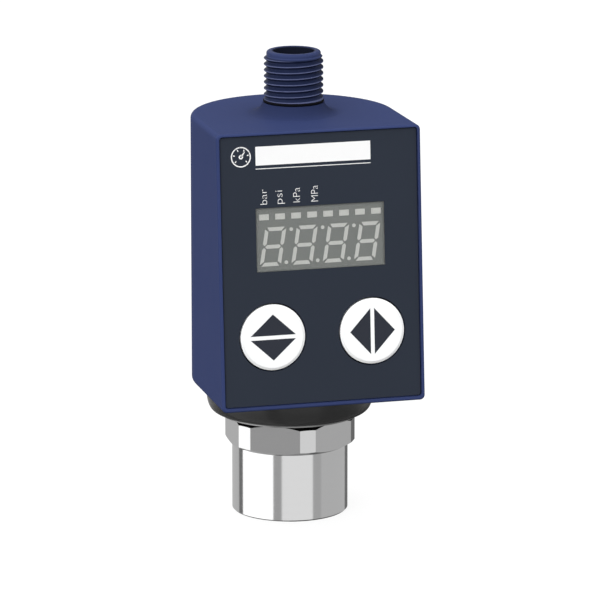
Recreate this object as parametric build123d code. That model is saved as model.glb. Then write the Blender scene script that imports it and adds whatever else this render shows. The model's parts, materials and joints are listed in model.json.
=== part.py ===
from build123d import *
import math
import os

# Pressure transmitter with a display head that swivels on a steel process fitting.
# Millimetres, +Z up, front towards -Y. The origin is the centre of the process port's mouth.

# Process fitting: hexagon, plain lower barrel and hollow neck, turned from one bar
NECK_R = 11.0
NECK_TALL = 12.5
HEX_Z = 13.6
HEX_TALL = 6.4
HEX_SHOULDER = 1.0
HEX_CORNERS_PROUD = 0.93
HEX_CROWN_STEP = 0.8
HEX_TURN = 0.7
HEX_CHAMFER_DEG = 30.0
BARREL_STEP = 0.45
BARREL_EDGE = 0.3
PORT_R = 5.72
PORT_DEEP = 12.5
PORT_LEAD_IN = 0.4
PASSAGE_R = 1.75
CHAMBER_WALL = 1.8
CHAMBER_FLOOR_Z = 17.0

# Ceramic cell and what holds it in the neck
CELL_GAP = 0.2
CELL_TALL = 5.5
CELL_SEAL_IN = 1.0
CELL_SEAL_WIDE = 2.2
CELL_SEAL_THICK = 1.8
CLAMP_TALL = 2.8
CLAMP_WIDE = 2.4
CLAMP_SLOT_WIDE = 2.0
CLAMP_SLOT_DEEP = 1.0
CELL_BOARD_THICK = 1.0
CELL_CONTACT_R = 0.25
CELL_CONTACT_IN = 1.2
CELL_CONTACT_PROUD = 0.4
CELL_CHIP = (3.0, 4.0, 1.1)
CELL_CHIP_IN = 2.9
HEADER_TALL = 3.5
HEADER_WALL = 0.75
HEADER_FLOOR = 1.1
PLUG_RIM = 0.95
PLUG_PROUD = 1.4

# Swivel: washer on the hexagon, bearing sleeve, seal, keyed stop washer and snap ring
THRUST_WASHER_WIDE = 3.2
THRUST_WASHER_THICK = 0.3
AXIAL_PLAY = 0.05
RUNNING_GAP = 0.05
SWIVEL_SEAL_WIDE = 1.44
SWIVEL_SEAL_TALL = 1.6
SWIVEL_SEAL_RISE = 2.05
SWIVEL_SEAL_PLAY = 0.15
STOP_WASHER_WIDE = 2.4
STOP_WASHER_THICK = 0.5
STOP_KEY_WIDE = 2.0
STOP_KEY_DEEP = 0.8
STOP_TAB_WIDE = 2.0
STOP_TAB_OUT = 0.7
STOP_TAB_DROP = 3.5
STOP_SLOT_GAP = 0.3
SWIVEL_HALF_TURN = 154.0
STOP_SPARE_DEG = 0.6
SNAP_RING_WIDE = 1.8
SNAP_RING_THICK = 1.0
SNAP_RING_GAP = 4.0
SNAP_GROOVE_DEEP = 0.8
SNAP_RING_PLAY = 0.1

# Housing: D shaped in plan, straight sides easing in to a round back, front leaning back a little
HOUSING_Z = 27.05
HOUSING_TALL = 54.1
HALF_WIDTH = 20.5
NECK_TO_BACK = 6.3
CONNECTOR_Y = -2.95
FRONT_FOOT_Y = -25.55
PANEL_LEAN = 4.5
SIDE_WALL = 2.2
ROOF = 2.2
FRONT_WALL = 2.0
EDGE_R = 1.0
FRONT_EDGE_R = 0.4

# Black base: plate that closes the housing, with the swivel bowl below it
BOWL_SET_BACK = 0.6
BOWL_FOOT_IN = 3.32
BOWL_ROUND_TALL = 5.2
BOWL_SIDE_PULL = 5.15
BOWL_FOOT_PULL = 2.15
PLATE_THICK = 2.0
PLATE_RECESS = 0.4
PLATE_GAP = 0.05
POCKET_OUT = 2.5
POCKET_WIDE = 1.3
POCKET_RISE = 2.9
POCKET_ARC = 36.0
POCKET_COUNT = 6
BOARD_POST = (3.0, 4.0)
BOARD_POST_IN = 1.4
PLAN_SPARE = 1.0

# Front label, set into a shallow recess in the leaning front face
LABEL_SIDE_LIP = 0.85
LABEL_LOWER_LIP = 1.02
LABEL_UPPER_LIP = 0.65
LABEL_CORNER_R = 0.45
LABEL_RECESS = 0.9
LABEL_THICK = 0.5
LABEL_GAP = 0.2

# Push buttons: the pair shares the housing's inner width
BUTTON_W = 14.29
BUTTON_SHIFT = 0.05
BUTTON_SIDE_GAP = 1.0
BUTTON_MIDDLE_GAP = 2.7
BUTTON_PROUD = 0.3
BUTTON_GAP = 0.3
BUTTON_BEVEL = (0.5, 0.28)
BUTTON_FACE_THICK = 1.6
BUTTON_WALL = 1.0
BUTTON_FLANGE = 0.86
BUTTON_FLANGE_THICK = 0.8
BUTTON_FLANGE_GAP = 0.05
BUTTON_TRAVEL = 0.4
BUTTON_SEAL_TALL = 1.0
BUTTON_SEAL_GRIP = 0.7
ARROW_BASE = 0.38
ARROW_TIP = 4.53
ARROW_HALF = 4.54
ARROW_DEEP = 0.3
ARROW_BELOW = 0.02
PLUNGER_R = 1.7
PLUNGER_GAP = 0.08
PLUNGER_SPARE = 0.1
SWITCH_SIZE = (5.2, 5.2, 3.4)
SWITCH_BORE_DEEP = 1.2

# Display behind its window
WINDOW_ABOVE_BUTTONS = 19.08
WINDOW_SIDE = 7.6
WINDOW_TALL = 12.5
WINDOW_GAP = 0.05
WINDOW_THICK = 0.3
MODULE_EDGE = 0.05
MODULE_RIM = 0.25
MODULE_FACE_DEEP = 0.15
SEGMENT_PROUD = 0.1
DIGIT_COUNT = 4
DIGIT_MARGIN = 0.28
DIGIT_DROP = 1.405
DIGIT_SHARE = 0.667
DIGIT_TALL = 7.55
DIGIT_STROKE = 0.72
DIGIT_GAP = 0.18
DIGIT_CORNER = 0.38
DIGIT_SLANT = 9.95
POINT_R = 0.36
POINT_SHARE = 0.497
POINT_RISE = 3.2
BAR_COUNT = 8
BAR_MARGIN = 0.06
BAR_SHIFT = 0.08
BAR_RISE = 4.4
BAR_SPACE = 1.29
BAR_TALL = 1.13

# Boards and what is on them
DISPLAY_BOARD_DEPTH = 7.4
DISPLAY_BOARD_SIDE_GAP = 0.6
DISPLAY_BOARD_LOW = 3.62
DISPLAY_BOARD_TOP_GAP = 3.85
BOARD_THICK = 1.6
BOSS_R = 2.3
BOSS_BELOW_BUTTONS = 5.5
BOSS_BELOW_BOARD_TOP = 3.0
SCREW_R = 0.95
SCREW_HEAD_R = 1.9
SCREW_HEAD_TALL = 1.3
SCREW_LONG = 4.6
SCREW_HOLE_GAP = 0.25
CONTROLLER = (9.0, 9.0, 1.3)
CONTROLLER_RISE = 30.4
POWER_BOARD_SIDE_GAP = 1.05
POWER_BOARD_LOW = 10.0
POWER_BOARD_TOP_GAP = 7.25
RAIL_THICK = 1.2
RAIL_REACH = 1.3
RAIL_GAP = 0.1
LINK_COLUMNS = 5
LINK_PITCH = 2.54
LINK_RISE = 8.0
LINK_BODY = (13.2, 5.4)
LINK_HEADER_TALL = 2.5
LINK_PIN = 0.64
LINK_PIN_GAP = 0.1
LINK_SOCKET_FLOOR = 3.5
LINK_PIN_OUT = 1.0
DRIVER = (5.0, 6.0, 1.6)
DRIVER_OUT = 7.0
DRIVER_RISE = 17.0
CAPACITOR_R = 4.0
CAPACITOR_LONG = 9.0
CAPACITOR_OUT = 9.5
INDUCTOR = (7.0, 7.0, 3.6)
INDUCTOR_OUT = 9.5
FILTER_RISE = 6.0
SOCKET = (8.0, 5.0, 5.8)
SOCKET_RISE = 20.0
LEAD_R = 0.45
LEAD_SPREAD_R = 1.0
LEAD_COUNT = 4
LEAD_CLEARANCE = 0.4
LEAD_END_GAP = 0.3

# Round connector on the roof
FOOT_TOP_R = 6.05
FOOT_SWEEP_R = 2.9
FOOT_TALL = 2.15
THREAD_CREST_R = 5.85
THREAD_GAP = 0.6
THREAD_TALL = 8.8
RIM_RISE = 9.6
RIM_STEP = 0.5
RIM_ROUND_R = 0.5
CONNECTOR_SEAL_PROUD = 0.15
CONNECTOR_BORE_R = 4.05
STEM_STEP = 0.55
STEM_GAP = 0.05
STEM_BELOW_ROOF = 2.7
NUT_WIDE = 1.7
NUT_TALL = 2.3
CARRIER_RISE = 1.3
CARRIER_GAP = 0.02
KEY_WIDE = 1.2
KEY_DEEP = 0.6
CONTACT_R = 0.5
CONTACT_PITCH_R = 2.62
CONTACT_COUNT = 4
CONTACT_BELOW_RIM = 2.1
CONTACT_TAIL = 0.5
CONTACT_GAP = 0.02
CONNECTOR_BOARD_WIDE = 2.7
CONNECTOR_BOARD_THICK = 1.2
LINK_WIRE = 0.6
LINK_WIRE_LAP = 4.0

# Sizes and places worked out from the values above
LEAN = math.radians(PANEL_LEAN)
FACE_TALL = HOUSING_TALL / math.cos(LEAN)
SLEEVE_R = NECK_R + RUNNING_GAP
HEX_FLAT_R = NECK_R + HEX_SHOULDER
HEX_CORNER_R = HEX_FLAT_R + HEX_CORNERS_PROUD
HEX_CROWN_R = HEX_FLAT_R - HEX_CROWN_STEP
BARREL_R = HEX_FLAT_R - BARREL_STEP
CHAMBER_R = NECK_R - CHAMBER_WALL
CELL_R = CHAMBER_R - CELL_GAP
CLAMP_BORE_R = CHAMBER_R - CLAMP_WIDE
CELL_CONTACT_PITCH_R = CLAMP_BORE_R - CELL_CONTACT_IN
PLUG_R = LEAD_SPREAD_R + LEAD_R + PLUG_RIM
HEADER_R = PLUG_R + RUNNING_GAP + HEADER_WALL
THRUST_WASHER_R = NECK_R + THRUST_WASHER_WIDE
STOP_WASHER_R = NECK_R + STOP_WASHER_WIDE
STOP_TAB_R = NECK_R + STOP_TAB_OUT
SNAP_RING_R = NECK_R + SNAP_RING_WIDE
REAR_RADIUS = NECK_R + NECK_TO_BACK - CONNECTOR_Y
BOWL_R = NECK_R + NECK_TO_BACK - BOWL_SET_BACK
BOWL_FOOT_R = BOWL_R - BOWL_FOOT_IN
HEX_TOP_Z = HEX_Z + HEX_TALL
NECK_TOP_Z = HEX_TOP_Z + NECK_TALL
CELL_Z = CHAMBER_FLOOR_Z + CELL_SEAL_THICK
CLAMP_Z = CELL_Z + CELL_TALL
CELL_BOARD_Z = CLAMP_Z + CLAMP_TALL
CELL_TOP_Z = CELL_BOARD_Z + CELL_BOARD_THICK
HEADER_TOP_Z = CELL_TOP_Z + HEADER_TALL
PLUG_TOP_Z = HEADER_TOP_Z + PLUG_PROUD
BOWL_Z = HEX_TOP_Z + THRUST_WASHER_THICK + AXIAL_PLAY
PLATE_Z = HOUSING_Z + PLATE_RECESS
PLATE_TOP_Z = PLATE_Z + PLATE_THICK
STOP_WASHER_Z = PLATE_TOP_Z + AXIAL_PLAY
SNAP_Z = STOP_WASHER_Z + STOP_WASHER_THICK + SNAP_RING_PLAY / 2
HOUSING_TOP_Z = HOUSING_Z + HOUSING_TALL
ROOF_Z = HOUSING_TOP_Z - ROOF
LABEL_WIDE = 2 * (HALF_WIDTH - LABEL_SIDE_LIP)
LABEL_TALL = FACE_TALL - LABEL_LOWER_LIP - LABEL_UPPER_LIP
LABEL_W = LABEL_LOWER_LIP + LABEL_TALL / 2
LABEL_FACE_DEPTH = LABEL_RECESS - LABEL_THICK
WALL_DEPTH = LABEL_RECESS + FRONT_WALL
BUTTON_SPACING = HALF_WIDTH - SIDE_WALL - BUTTON_SIDE_GAP + BUTTON_MIDDLE_GAP
BUTTON_FLANGE_R = (HALF_WIDTH - SIDE_WALL - BUTTON_SIDE_GAP - BUTTON_MIDDLE_GAP) / 2
BUTTON_R = BUTTON_FLANGE_R - BUTTON_FLANGE
BUTTON_HOLE_R = BUTTON_R + BUTTON_GAP
BUTTON_FACE_DEPTH = LABEL_FACE_DEPTH - BUTTON_PROUD
FLANGE_DEPTH = WALL_DEPTH + BUTTON_FLANGE_GAP
WINDOW_WIDE = 2 * (HALF_WIDTH - WINDOW_SIDE)
WINDOW_W = BUTTON_W + WINDOW_ABOVE_BUTTONS
WINDOW_BACK_DEPTH = LABEL_FACE_DEPTH + WINDOW_THICK
MODULE_FACE_DEPTH = WINDOW_BACK_DEPTH + MODULE_FACE_DEEP
DIGIT_PITCH = (WINDOW_WIDE - 2 * DIGIT_MARGIN) / DIGIT_COUNT
DIGIT_WIDE = DIGIT_SHARE * DIGIT_PITCH
BAR_PITCH = (WINDOW_WIDE - 2 * BAR_MARGIN) / BAR_COUNT
SWITCH_DEPTH = DISPLAY_BOARD_DEPTH - SWITCH_SIZE[2]
DISPLAY_BACK_DEPTH = DISPLAY_BOARD_DEPTH + BOARD_THICK
DISPLAY_BOARD_HIGH = FACE_TALL - DISPLAY_BOARD_TOP_GAP
LOWER_BOSS_W = BUTTON_W - BOSS_BELOW_BUTTONS
UPPER_BOSS_W = DISPLAY_BOARD_HIGH - BOSS_BELOW_BOARD_TOP
LEAD_REACH = LEAD_SPREAD_R + LEAD_R + LEAD_CLEARANCE
SOCKET_W = POWER_BOARD_LOW + SOCKET_RISE
LEAD_TOP_W = SOCKET_W - SOCKET[1] / 2
POWER_BACK_DEPTH = -FRONT_FOOT_Y - LEAD_REACH - LEAD_TOP_W * math.sin(LEAN)
POWER_BOARD_DEPTH = POWER_BACK_DEPTH - BOARD_THICK
POWER_BOARD_HALF = REAR_RADIUS - SIDE_WALL - POWER_BOARD_SIDE_GAP
POWER_BOARD_HIGH = FACE_TALL - POWER_BOARD_TOP_GAP
BOARD_POST_X = POWER_BOARD_HALF - BOARD_POST_IN
LINK_W = POWER_BOARD_LOW + LINK_RISE
FILTER_W = POWER_BOARD_LOW + FILTER_RISE
DRIVER_W = POWER_BOARD_LOW + DRIVER_RISE
CONTROLLER_W = DISPLAY_BOARD_LOW + CONTROLLER_RISE
FOOT_TOP_Z = HOUSING_TOP_Z + FOOT_TALL
FOOT_TURN = math.acos(1 - FOOT_TALL / FOOT_SWEEP_R)
THREAD_LOW_Z = FOOT_TOP_Z + THREAD_GAP
RIM_Z = THREAD_LOW_Z + RIM_RISE
RIM_R = THREAD_CREST_R - RIM_STEP
STEM_R = THREAD_CREST_R - STEM_STEP
STEM_END_Z = ROOF_Z - STEM_BELOW_ROOF
CARRIER_FACE_Z = THREAD_LOW_Z + CARRIER_RISE
CONTACT_TIP_Z = RIM_Z - CONTACT_BELOW_RIM
CONNECTOR_BOARD_R = STEM_R + CONNECTOR_BOARD_WIDE
BEYOND = 4 * HOUSING_TALL

# The leaning front face: x to the right, y up the face, z out of it. Depths count inwards from it.
PANEL = Plane(
    origin=(0, FRONT_FOOT_Y, HOUSING_Z),
    x_dir=(1, 0, 0),
    z_dir=(0, -math.cos(LEAN), math.sin(LEAN)),
)
CONNECTOR_AXIS = Pos(0, CONNECTOR_Y, 0)


def turned(*points):
    """A solid of revolution about the Z axis from radius and height pairs."""
    outline = Polyline(*[(radius, 0, height) for radius, height in points], close=True)
    return revolve(make_face(outline), Axis.Z)


def tube(outer, inner, low, high):
    """A plain ring about the Z axis."""
    return turned((inner, low), (outer, low), (outer, high), (inner, high))


def disc(radius, low, high):
    """A plain round solid about the Z axis."""
    return Pos(0, 0, low) * extrude(Circle(radius), high - low)


def slab(sketch, depth_from, depth_to):
    """The sketch, drawn on the front face, made solid between two depths behind it."""
    return PANEL * Pos(0, 0, -depth_to) * extrude(sketch, depth_to - depth_from)


def block(size, u, w, depth_from):
    """A rectangular solid behind the front face: size is width, height and thickness."""
    sketch = Pos(u, w) * Rectangle(size[0], size[1])
    return slab(sketch, depth_from, depth_from + size[2])


def depth_of(point):
    """How far behind the front face a point lies."""
    return (PANEL.origin - point).dot(PANEL.z_dir)


def height_at(w, depth):
    """The height of a point that lies w up the front face and the depth behind it."""
    return HOUSING_Z + w * math.cos(LEAN) - depth * math.sin(LEAN)


def tangent_point(inset):
    """Where the housing's straight side meets its round back, moved in by the inset."""
    radius = REAR_RADIUS - inset
    corner_x = HALF_WIDTH - inset
    corner_y = FRONT_FOOT_Y - CONNECTOR_Y
    reach = math.hypot(corner_x, corner_y)
    angle = math.atan2(corner_y, corner_x) + math.acos(radius / reach)
    return radius * math.cos(angle), CONNECTOR_Y + radius * math.sin(angle)


def half_width(inset, y):
    """Half the housing's width at a place along its straight sides, moved in by the inset."""
    tangent_x, tangent_y = tangent_point(inset)
    share = (y - tangent_y) / (FRONT_FOOT_Y - tangent_y)
    return tangent_x + (HALF_WIDTH - inset - tangent_x) * share


def plan(inset):
    """The housing's D shape seen from above, moved in by the inset, with its front left long."""
    radius = REAR_RADIUS - inset
    tangent_x, tangent_y = tangent_point(inset)
    front_y = FRONT_FOOT_Y - PLAN_SPARE
    front_x = half_width(inset, front_y)
    back = ThreePointArc(
        (-tangent_x, tangent_y), (0, CONNECTOR_Y + radius), (tangent_x, tangent_y)
    )
    sides = Polyline(
        (tangent_x, tangent_y), (front_x, front_y), (-front_x, front_y), (-tangent_x, tangent_y)
    )
    return make_face(back + sides)


def upright(inset, front_depth, low, high):
    """The housing's form between two heights, moved in at the sides and cut to the leaning front."""
    body = Pos(0, 0, low) * extrude(plan(inset), high - low)
    return body & slab(Rectangle(BEYOND, BEYOND), front_depth, BEYOND)


def make_process_fitting():
    """Hexagon, barrel and neck, with the threaded port below and the cell chamber above."""
    slope = math.tan(math.radians(HEX_CHAMFER_DEG))
    widest = HEX_CORNER_R + BARREL_EDGE
    blank = turned(
        (0, HEX_Z),
        (BARREL_R, HEX_Z),
        (widest, HEX_Z + (widest - BARREL_R) * slope),
        (widest, HEX_TOP_Z - (widest - HEX_CROWN_R) * slope),
        (HEX_CROWN_R, HEX_TOP_Z),
        (0, HEX_TOP_Z),
    )
    flats = RegularPolygon(HEX_FLAT_R, 6, major_radius=False, rotation=30 + HEX_TURN)
    corners = RegularPolygon(HEX_CORNER_R, 6, major_radius=False, rotation=HEX_TURN)
    hexagon = blank & (Pos(0, 0, HEX_Z) * extrude(flats & corners, HEX_TALL))
    barrel = turned(
        (0, 0),
        (BARREL_R - BARREL_EDGE, 0),
        (BARREL_R, BARREL_EDGE),
        (BARREL_R, HEX_Z),
        (0, HEX_Z),
    )
    groove_r = NECK_R - SNAP_GROOVE_DEEP
    groove_z = SNAP_Z - SNAP_RING_PLAY / 2
    neck = disc(NECK_R, HEX_TOP_Z, NECK_TOP_Z)
    neck -= tube(NECK_R, groove_r, groove_z, groove_z + SNAP_RING_THICK + SNAP_RING_PLAY)
    port = turned(
        (0, 0),
        (PORT_R + PORT_LEAD_IN, 0),
        (PORT_R, PORT_LEAD_IN),
        (PORT_R, PORT_DEEP),
        (PASSAGE_R, PORT_DEEP + (PORT_R - PASSAGE_R) * slope),
        (PASSAGE_R, CHAMBER_FLOOR_Z),
        (CHAMBER_R, CHAMBER_FLOOR_Z),
        (CHAMBER_R, NECK_TOP_Z),
        (0, NECK_TOP_Z),
    )
    keyway = radial_block(STOP_KEY_WIDE, NECK_R - STOP_KEY_DEEP, SLEEVE_R, PLATE_TOP_Z, NECK_TOP_Z)
    return hexagon + barrel + neck - port - keyway


def radial_block(wide, inner, outer, low, high):
    """A block at the back of the neck, between two distances from the axis and two heights."""
    sketch = Pos(0, (inner + outer) / 2) * Rectangle(wide, outer - inner)
    return Pos(0, 0, low) * extrude(sketch, high - low)


def make_cell_parts():
    """Seal, ceramic cell, clamp ring, contacts, board, chip, header and plug inside the neck."""
    seal_outer = CHAMBER_R - CELL_SEAL_IN
    seal = tube(seal_outer, seal_outer - CELL_SEAL_WIDE, CHAMBER_FLOOR_Z, CELL_Z)
    clamp = tube(CHAMBER_R, CLAMP_BORE_R, CLAMP_Z, CELL_BOARD_Z)
    slots = Box(CLAMP_SLOT_WIDE, 2 * CHAMBER_R, CLAMP_SLOT_DEEP, align=Align.CENTER)
    clamp -= Pos(0, 0, CELL_BOARD_Z - CLAMP_SLOT_DEEP / 2) * slots
    around = [
        Rot(0, 0, 45 + 90 * turn) * Pos(CELL_CONTACT_PITCH_R, 0) for turn in range(4)
    ]
    contact_top = CELL_TOP_Z + CELL_CONTACT_PROUD
    contacts = [place * disc(CELL_CONTACT_R, CLAMP_Z, contact_top) for place in around]
    board = disc(CHAMBER_R - RUNNING_GAP, CELL_BOARD_Z, CELL_TOP_Z)
    for contact in contacts:
        board -= contact
    chip_x = CELL_CHIP_IN - CHAMBER_R
    chip = Pos(chip_x, 0, CELL_TOP_Z) * extrude(Rectangle(*CELL_CHIP[:2]), CELL_CHIP[2])
    header = disc(HEADER_R, CELL_TOP_Z, HEADER_TOP_Z)
    header -= disc(HEADER_R - HEADER_WALL, CELL_TOP_Z + HEADER_FLOOR, HEADER_TOP_Z)
    return {
        "cell_seal": seal,
        "pressure_cell": disc(CELL_R, CELL_Z, CLAMP_Z),
        "cell_clamp_ring": clamp,
        "cell_contacts": Compound(children=contacts),
        "cell_board": board,
        "cell_amplifier": chip,
        "cell_header": header,
        "lead_plug": disc(PLUG_R, CELL_TOP_Z + HEADER_FLOOR, PLUG_TOP_Z),
    }


def make_swivel_parts():
    """Washers, snap ring, stop pin and seal between the neck and the base."""
    ring = tube(SNAP_RING_R, NECK_R - SNAP_GROOVE_DEEP, SNAP_Z, SNAP_Z + SNAP_RING_THICK)
    mouth = Pos(0, -SNAP_RING_R, SNAP_Z + SNAP_RING_THICK / 2)
    ring -= mouth * Box(SNAP_RING_GAP, 2 * SNAP_RING_R - NECK_R, SNAP_RING_THICK)
    seal_low = BOWL_Z + SWIVEL_SEAL_RISE
    seal_outer = SLEEVE_R + SWIVEL_SEAL_WIDE
    washer_top = HEX_TOP_Z + THRUST_WASHER_THICK
    stop_top = STOP_WASHER_Z + STOP_WASHER_THICK
    tab_outer = STOP_TAB_R + STOP_WASHER_THICK
    key_inner = NECK_R - STOP_KEY_DEEP + RUNNING_GAP
    key_wide = STOP_KEY_WIDE - 2 * RUNNING_GAP
    stop = tube(STOP_WASHER_R, SLEEVE_R, STOP_WASHER_Z, stop_top)
    stop += radial_block(key_wide, key_inner, STOP_TAB_R, STOP_WASHER_Z, stop_top)
    stop += radial_block(
        STOP_TAB_WIDE, STOP_TAB_R, tab_outer, STOP_WASHER_Z - STOP_TAB_DROP, stop_top
    )
    return {
        "thrust_washer": tube(THRUST_WASHER_R, NECK_R, HEX_TOP_Z, washer_top),
        "stop_washer": stop,
        "snap_ring": ring,
        "swivel_seal": tube(seal_outer, SLEEVE_R, seal_low, seal_low + SWIVEL_SEAL_TALL),
    }


def sector(radius, middle_deg, span_deg):
    """A pie slice of a circle, drawn flat, wide enough for any span."""
    start = math.radians(middle_deg - span_deg / 2)
    middle = math.radians(middle_deg)
    end = math.radians(middle_deg + span_deg / 2)
    points = [(radius * math.cos(a), radius * math.sin(a)) for a in (start, middle, end)]
    edges = Line((0, 0), points[0]) + ThreePointArc(*points) + Line(points[2], (0, 0))
    return make_face(edges)


def make_swivel_base():
    """The black moulding: plate in the housing's mouth, swivel bowl, sleeve, pockets and posts."""
    round_z = BOWL_Z + BOWL_ROUND_TALL
    side = Bezier(
        (BOWL_R, round_z),
        (BOWL_R, round_z - BOWL_SIDE_PULL),
        (BOWL_FOOT_R + BOWL_FOOT_PULL, BOWL_Z),
        (BOWL_FOOT_R, BOWL_Z),
    )
    rest = Polyline(
        (BOWL_R, round_z), (BOWL_R, HOUSING_Z), (0, HOUSING_Z), (0, BOWL_Z), (BOWL_FOOT_R, BOWL_Z)
    )
    bowl = revolve(Plane.XZ * make_face(side + rest), Axis.Z)
    plate = upright(SIDE_WALL + PLATE_GAP, WALL_DEPTH + PLATE_GAP, PLATE_Z, PLATE_TOP_Z)
    base = bowl + disc(BOWL_R - SIDE_WALL, HOUSING_Z, PLATE_Z) + plate
    base -= disc(SLEEVE_R, BOWL_Z, PLATE_TOP_Z)
    gland_low = BOWL_Z + SWIVEL_SEAL_RISE - SWIVEL_SEAL_PLAY
    gland_high = gland_low + SWIVEL_SEAL_TALL + 2 * SWIVEL_SEAL_PLAY
    base -= disc(SLEEVE_R + SWIVEL_SEAL_WIDE, gland_low, gland_high)
    tab_deg = math.degrees(math.asin(STOP_TAB_WIDE / 2 / STOP_TAB_R))
    slot_deg = 2 * (SWIVEL_HALF_TURN + tab_deg + STOP_SPARE_DEG)
    slot_low = STOP_WASHER_Z - STOP_TAB_DROP - STOP_SLOT_GAP
    slot_r = STOP_TAB_R + STOP_WASHER_THICK + STOP_SLOT_GAP
    slot = extrude(sector(slot_r, 90, slot_deg), PLATE_TOP_Z - slot_low)
    base -= Pos(0, 0, slot_low) * slot
    pocket_r = NECK_R + POCKET_OUT
    pocket_low = BOWL_Z + POCKET_RISE
    pocket = Circle(pocket_r + POCKET_WIDE) - Circle(pocket_r)
    for turn in range(POCKET_COUNT):
        slice_of_it = pocket & sector(2 * pocket_r, 360 / POCKET_COUNT * turn, POCKET_ARC)
        base -= Pos(0, 0, pocket_low) * extrude(slice_of_it, PLATE_TOP_Z - pocket_low)
    post_top = height_at(POWER_BOARD_LOW, POWER_BACK_DEPTH) - PLATE_GAP
    middle_depth = POWER_BOARD_DEPTH + BOARD_THICK / 2
    post_y = FRONT_FOOT_Y + POWER_BOARD_LOW * math.sin(LEAN) + middle_depth * math.cos(LEAN)
    post = extrude(Rectangle(*BOARD_POST), post_top - PLATE_TOP_Z)
    for side_x in (-BOARD_POST_X, BOARD_POST_X):
        base += Pos(side_x, post_y, PLATE_TOP_Z) * post
    return base


def label_outline(gap):
    """The label's rounded rectangle on the front face, larger all round by the gap."""
    wide = LABEL_WIDE + 2 * gap
    tall = LABEL_TALL + 2 * gap
    return Pos(0, LABEL_W) * RectangleRounded(wide, tall, LABEL_CORNER_R + gap)


def window_outline(gap):
    """The display window's rectangle on the front face, larger all round by the gap."""
    return Pos(BUTTON_SHIFT, WINDOW_W) * Rectangle(WINDOW_WIDE + 2 * gap, WINDOW_TALL + 2 * gap)


def button_places():
    """The two button centres on the front face, left then right."""
    half = BUTTON_SPACING / 2
    return {
        "left": Pos(BUTTON_SHIFT - half, BUTTON_W),
        "right": Pos(BUTTON_SHIFT + half, BUTTON_W),
    }


def display_board_half():
    """Half the display board's width, as the housing's sides leave it."""
    back_y = FRONT_FOOT_Y + FACE_TALL * math.sin(LEAN) + DISPLAY_BACK_DEPTH
    return half_width(SIDE_WALL, back_y) - DISPLAY_BOARD_SIDE_GAP


def boss_places():
    """The three screw bosses behind the front wall: one below the buttons, two at the top."""
    out = display_board_half() - BOSS_R
    return (0, LOWER_BOSS_W), (-out, UPPER_BOSS_W), (out, UPPER_BOSS_W)


def make_connector_foot():
    """The round foot on the roof that sweeps up to the connector."""
    low = HOUSING_TOP_Z - ROOF / 2
    outer_r = FOOT_TOP_R + FOOT_SWEEP_R * math.sin(FOOT_TURN)
    middle = (
        outer_r - FOOT_SWEEP_R * math.sin(FOOT_TURN / 2),
        HOUSING_TOP_Z + FOOT_SWEEP_R * (1 - math.cos(FOOT_TURN / 2)),
    )
    sweep = ThreePointArc((outer_r, HOUSING_TOP_Z), middle, (FOOT_TOP_R, FOOT_TOP_Z))
    rest = Polyline(
        (FOOT_TOP_R, FOOT_TOP_Z),
        (0, FOOT_TOP_Z),
        (0, low),
        (outer_r, low),
        (outer_r, HOUSING_TOP_Z),
    )
    return CONNECTOR_AXIS * revolve(Plane.XZ * make_face(sweep + rest), Axis.Z)


def make_housing():
    """The blue shell: open below, with the label recess, window, button holes, rails and bosses."""
    shell = upright(0, 0, HOUSING_Z, HOUSING_TOP_Z)
    ends = shell.faces().sort_by(Axis.Z)[0].edges() + shell.faces().sort_by(Axis.Z)[-1].edges()
    shell = fillet(ends.filter_by(lambda edge: depth_of(edge @ 0.5) > EDGE_R), EDGE_R)
    front = shell.faces().sort_by(lambda face: depth_of(face.center()))[0]
    shell = fillet(front.outer_wire().edges(), FRONT_EDGE_R)
    shell += make_connector_foot()
    shell -= upright(SIDE_WALL, WALL_DEPTH, HOUSING_Z, ROOF_Z)
    shell -= slab(label_outline(LABEL_GAP), 0, LABEL_RECESS)
    shell -= slab(window_outline(WINDOW_GAP), LABEL_RECESS, WALL_DEPTH)
    for place in button_places().values():
        shell -= slab(place * Circle(BUTTON_HOLE_R), LABEL_RECESS, WALL_DEPTH)
        groove = place * Circle(BUTTON_HOLE_R + BUTTON_SEAL_GRIP)
        middle = LABEL_RECESS + FRONT_WALL / 2
        shell -= slab(groove, middle - BUTTON_SEAL_TALL / 2, middle + BUTTON_SEAL_TALL / 2)
    for u, w in boss_places():
        ring = Circle(BOSS_R) - Circle(SCREW_R)
        shell += slab(Pos(u, w) * ring, WALL_DEPTH, DISPLAY_BOARD_DEPTH)
    shell += make_rails()
    stem_hole = disc(STEM_R + STEM_GAP, ROOF_Z, FOOT_TOP_Z)
    return shell - CONNECTOR_AXIS * stem_hole


def make_rails():
    """Pairs of ribs on the side walls that hold the power board, closed at the top."""
    inner = POWER_BOARD_HALF - RAIL_REACH
    outer = REAR_RADIUS - SIDE_WALL * 0.75
    tall = POWER_BOARD_HIGH - POWER_BOARD_LOW - RAIL_THICK
    middle_w = POWER_BOARD_HIGH - tall / 2
    front_depth = POWER_BOARD_DEPTH - RAIL_GAP - RAIL_THICK
    back_depth = POWER_BACK_DEPTH + RAIL_GAP
    full = back_depth + RAIL_THICK - front_depth
    rails = []
    for side in (-1, 1):
        u = side * (inner + outer) / 2
        for depth in (front_depth, back_depth):
            rails.append(block((outer - inner, tall, RAIL_THICK), u, middle_w, depth))
        cap_w = POWER_BOARD_HIGH + RAIL_GAP + RAIL_THICK / 2
        rails.append(block((outer - inner, RAIL_THICK + 2 * RAIL_GAP, full), u, cap_w, front_depth))
    return rails


def make_front_label():
    """The thin overlay with its window and button holes."""
    sheet = label_outline(0) - window_outline(0)
    for place in button_places().values():
        sheet -= place * Circle(BUTTON_HOLE_R)
    return slab(sheet, LABEL_FACE_DEPTH, LABEL_RECESS)


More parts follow.
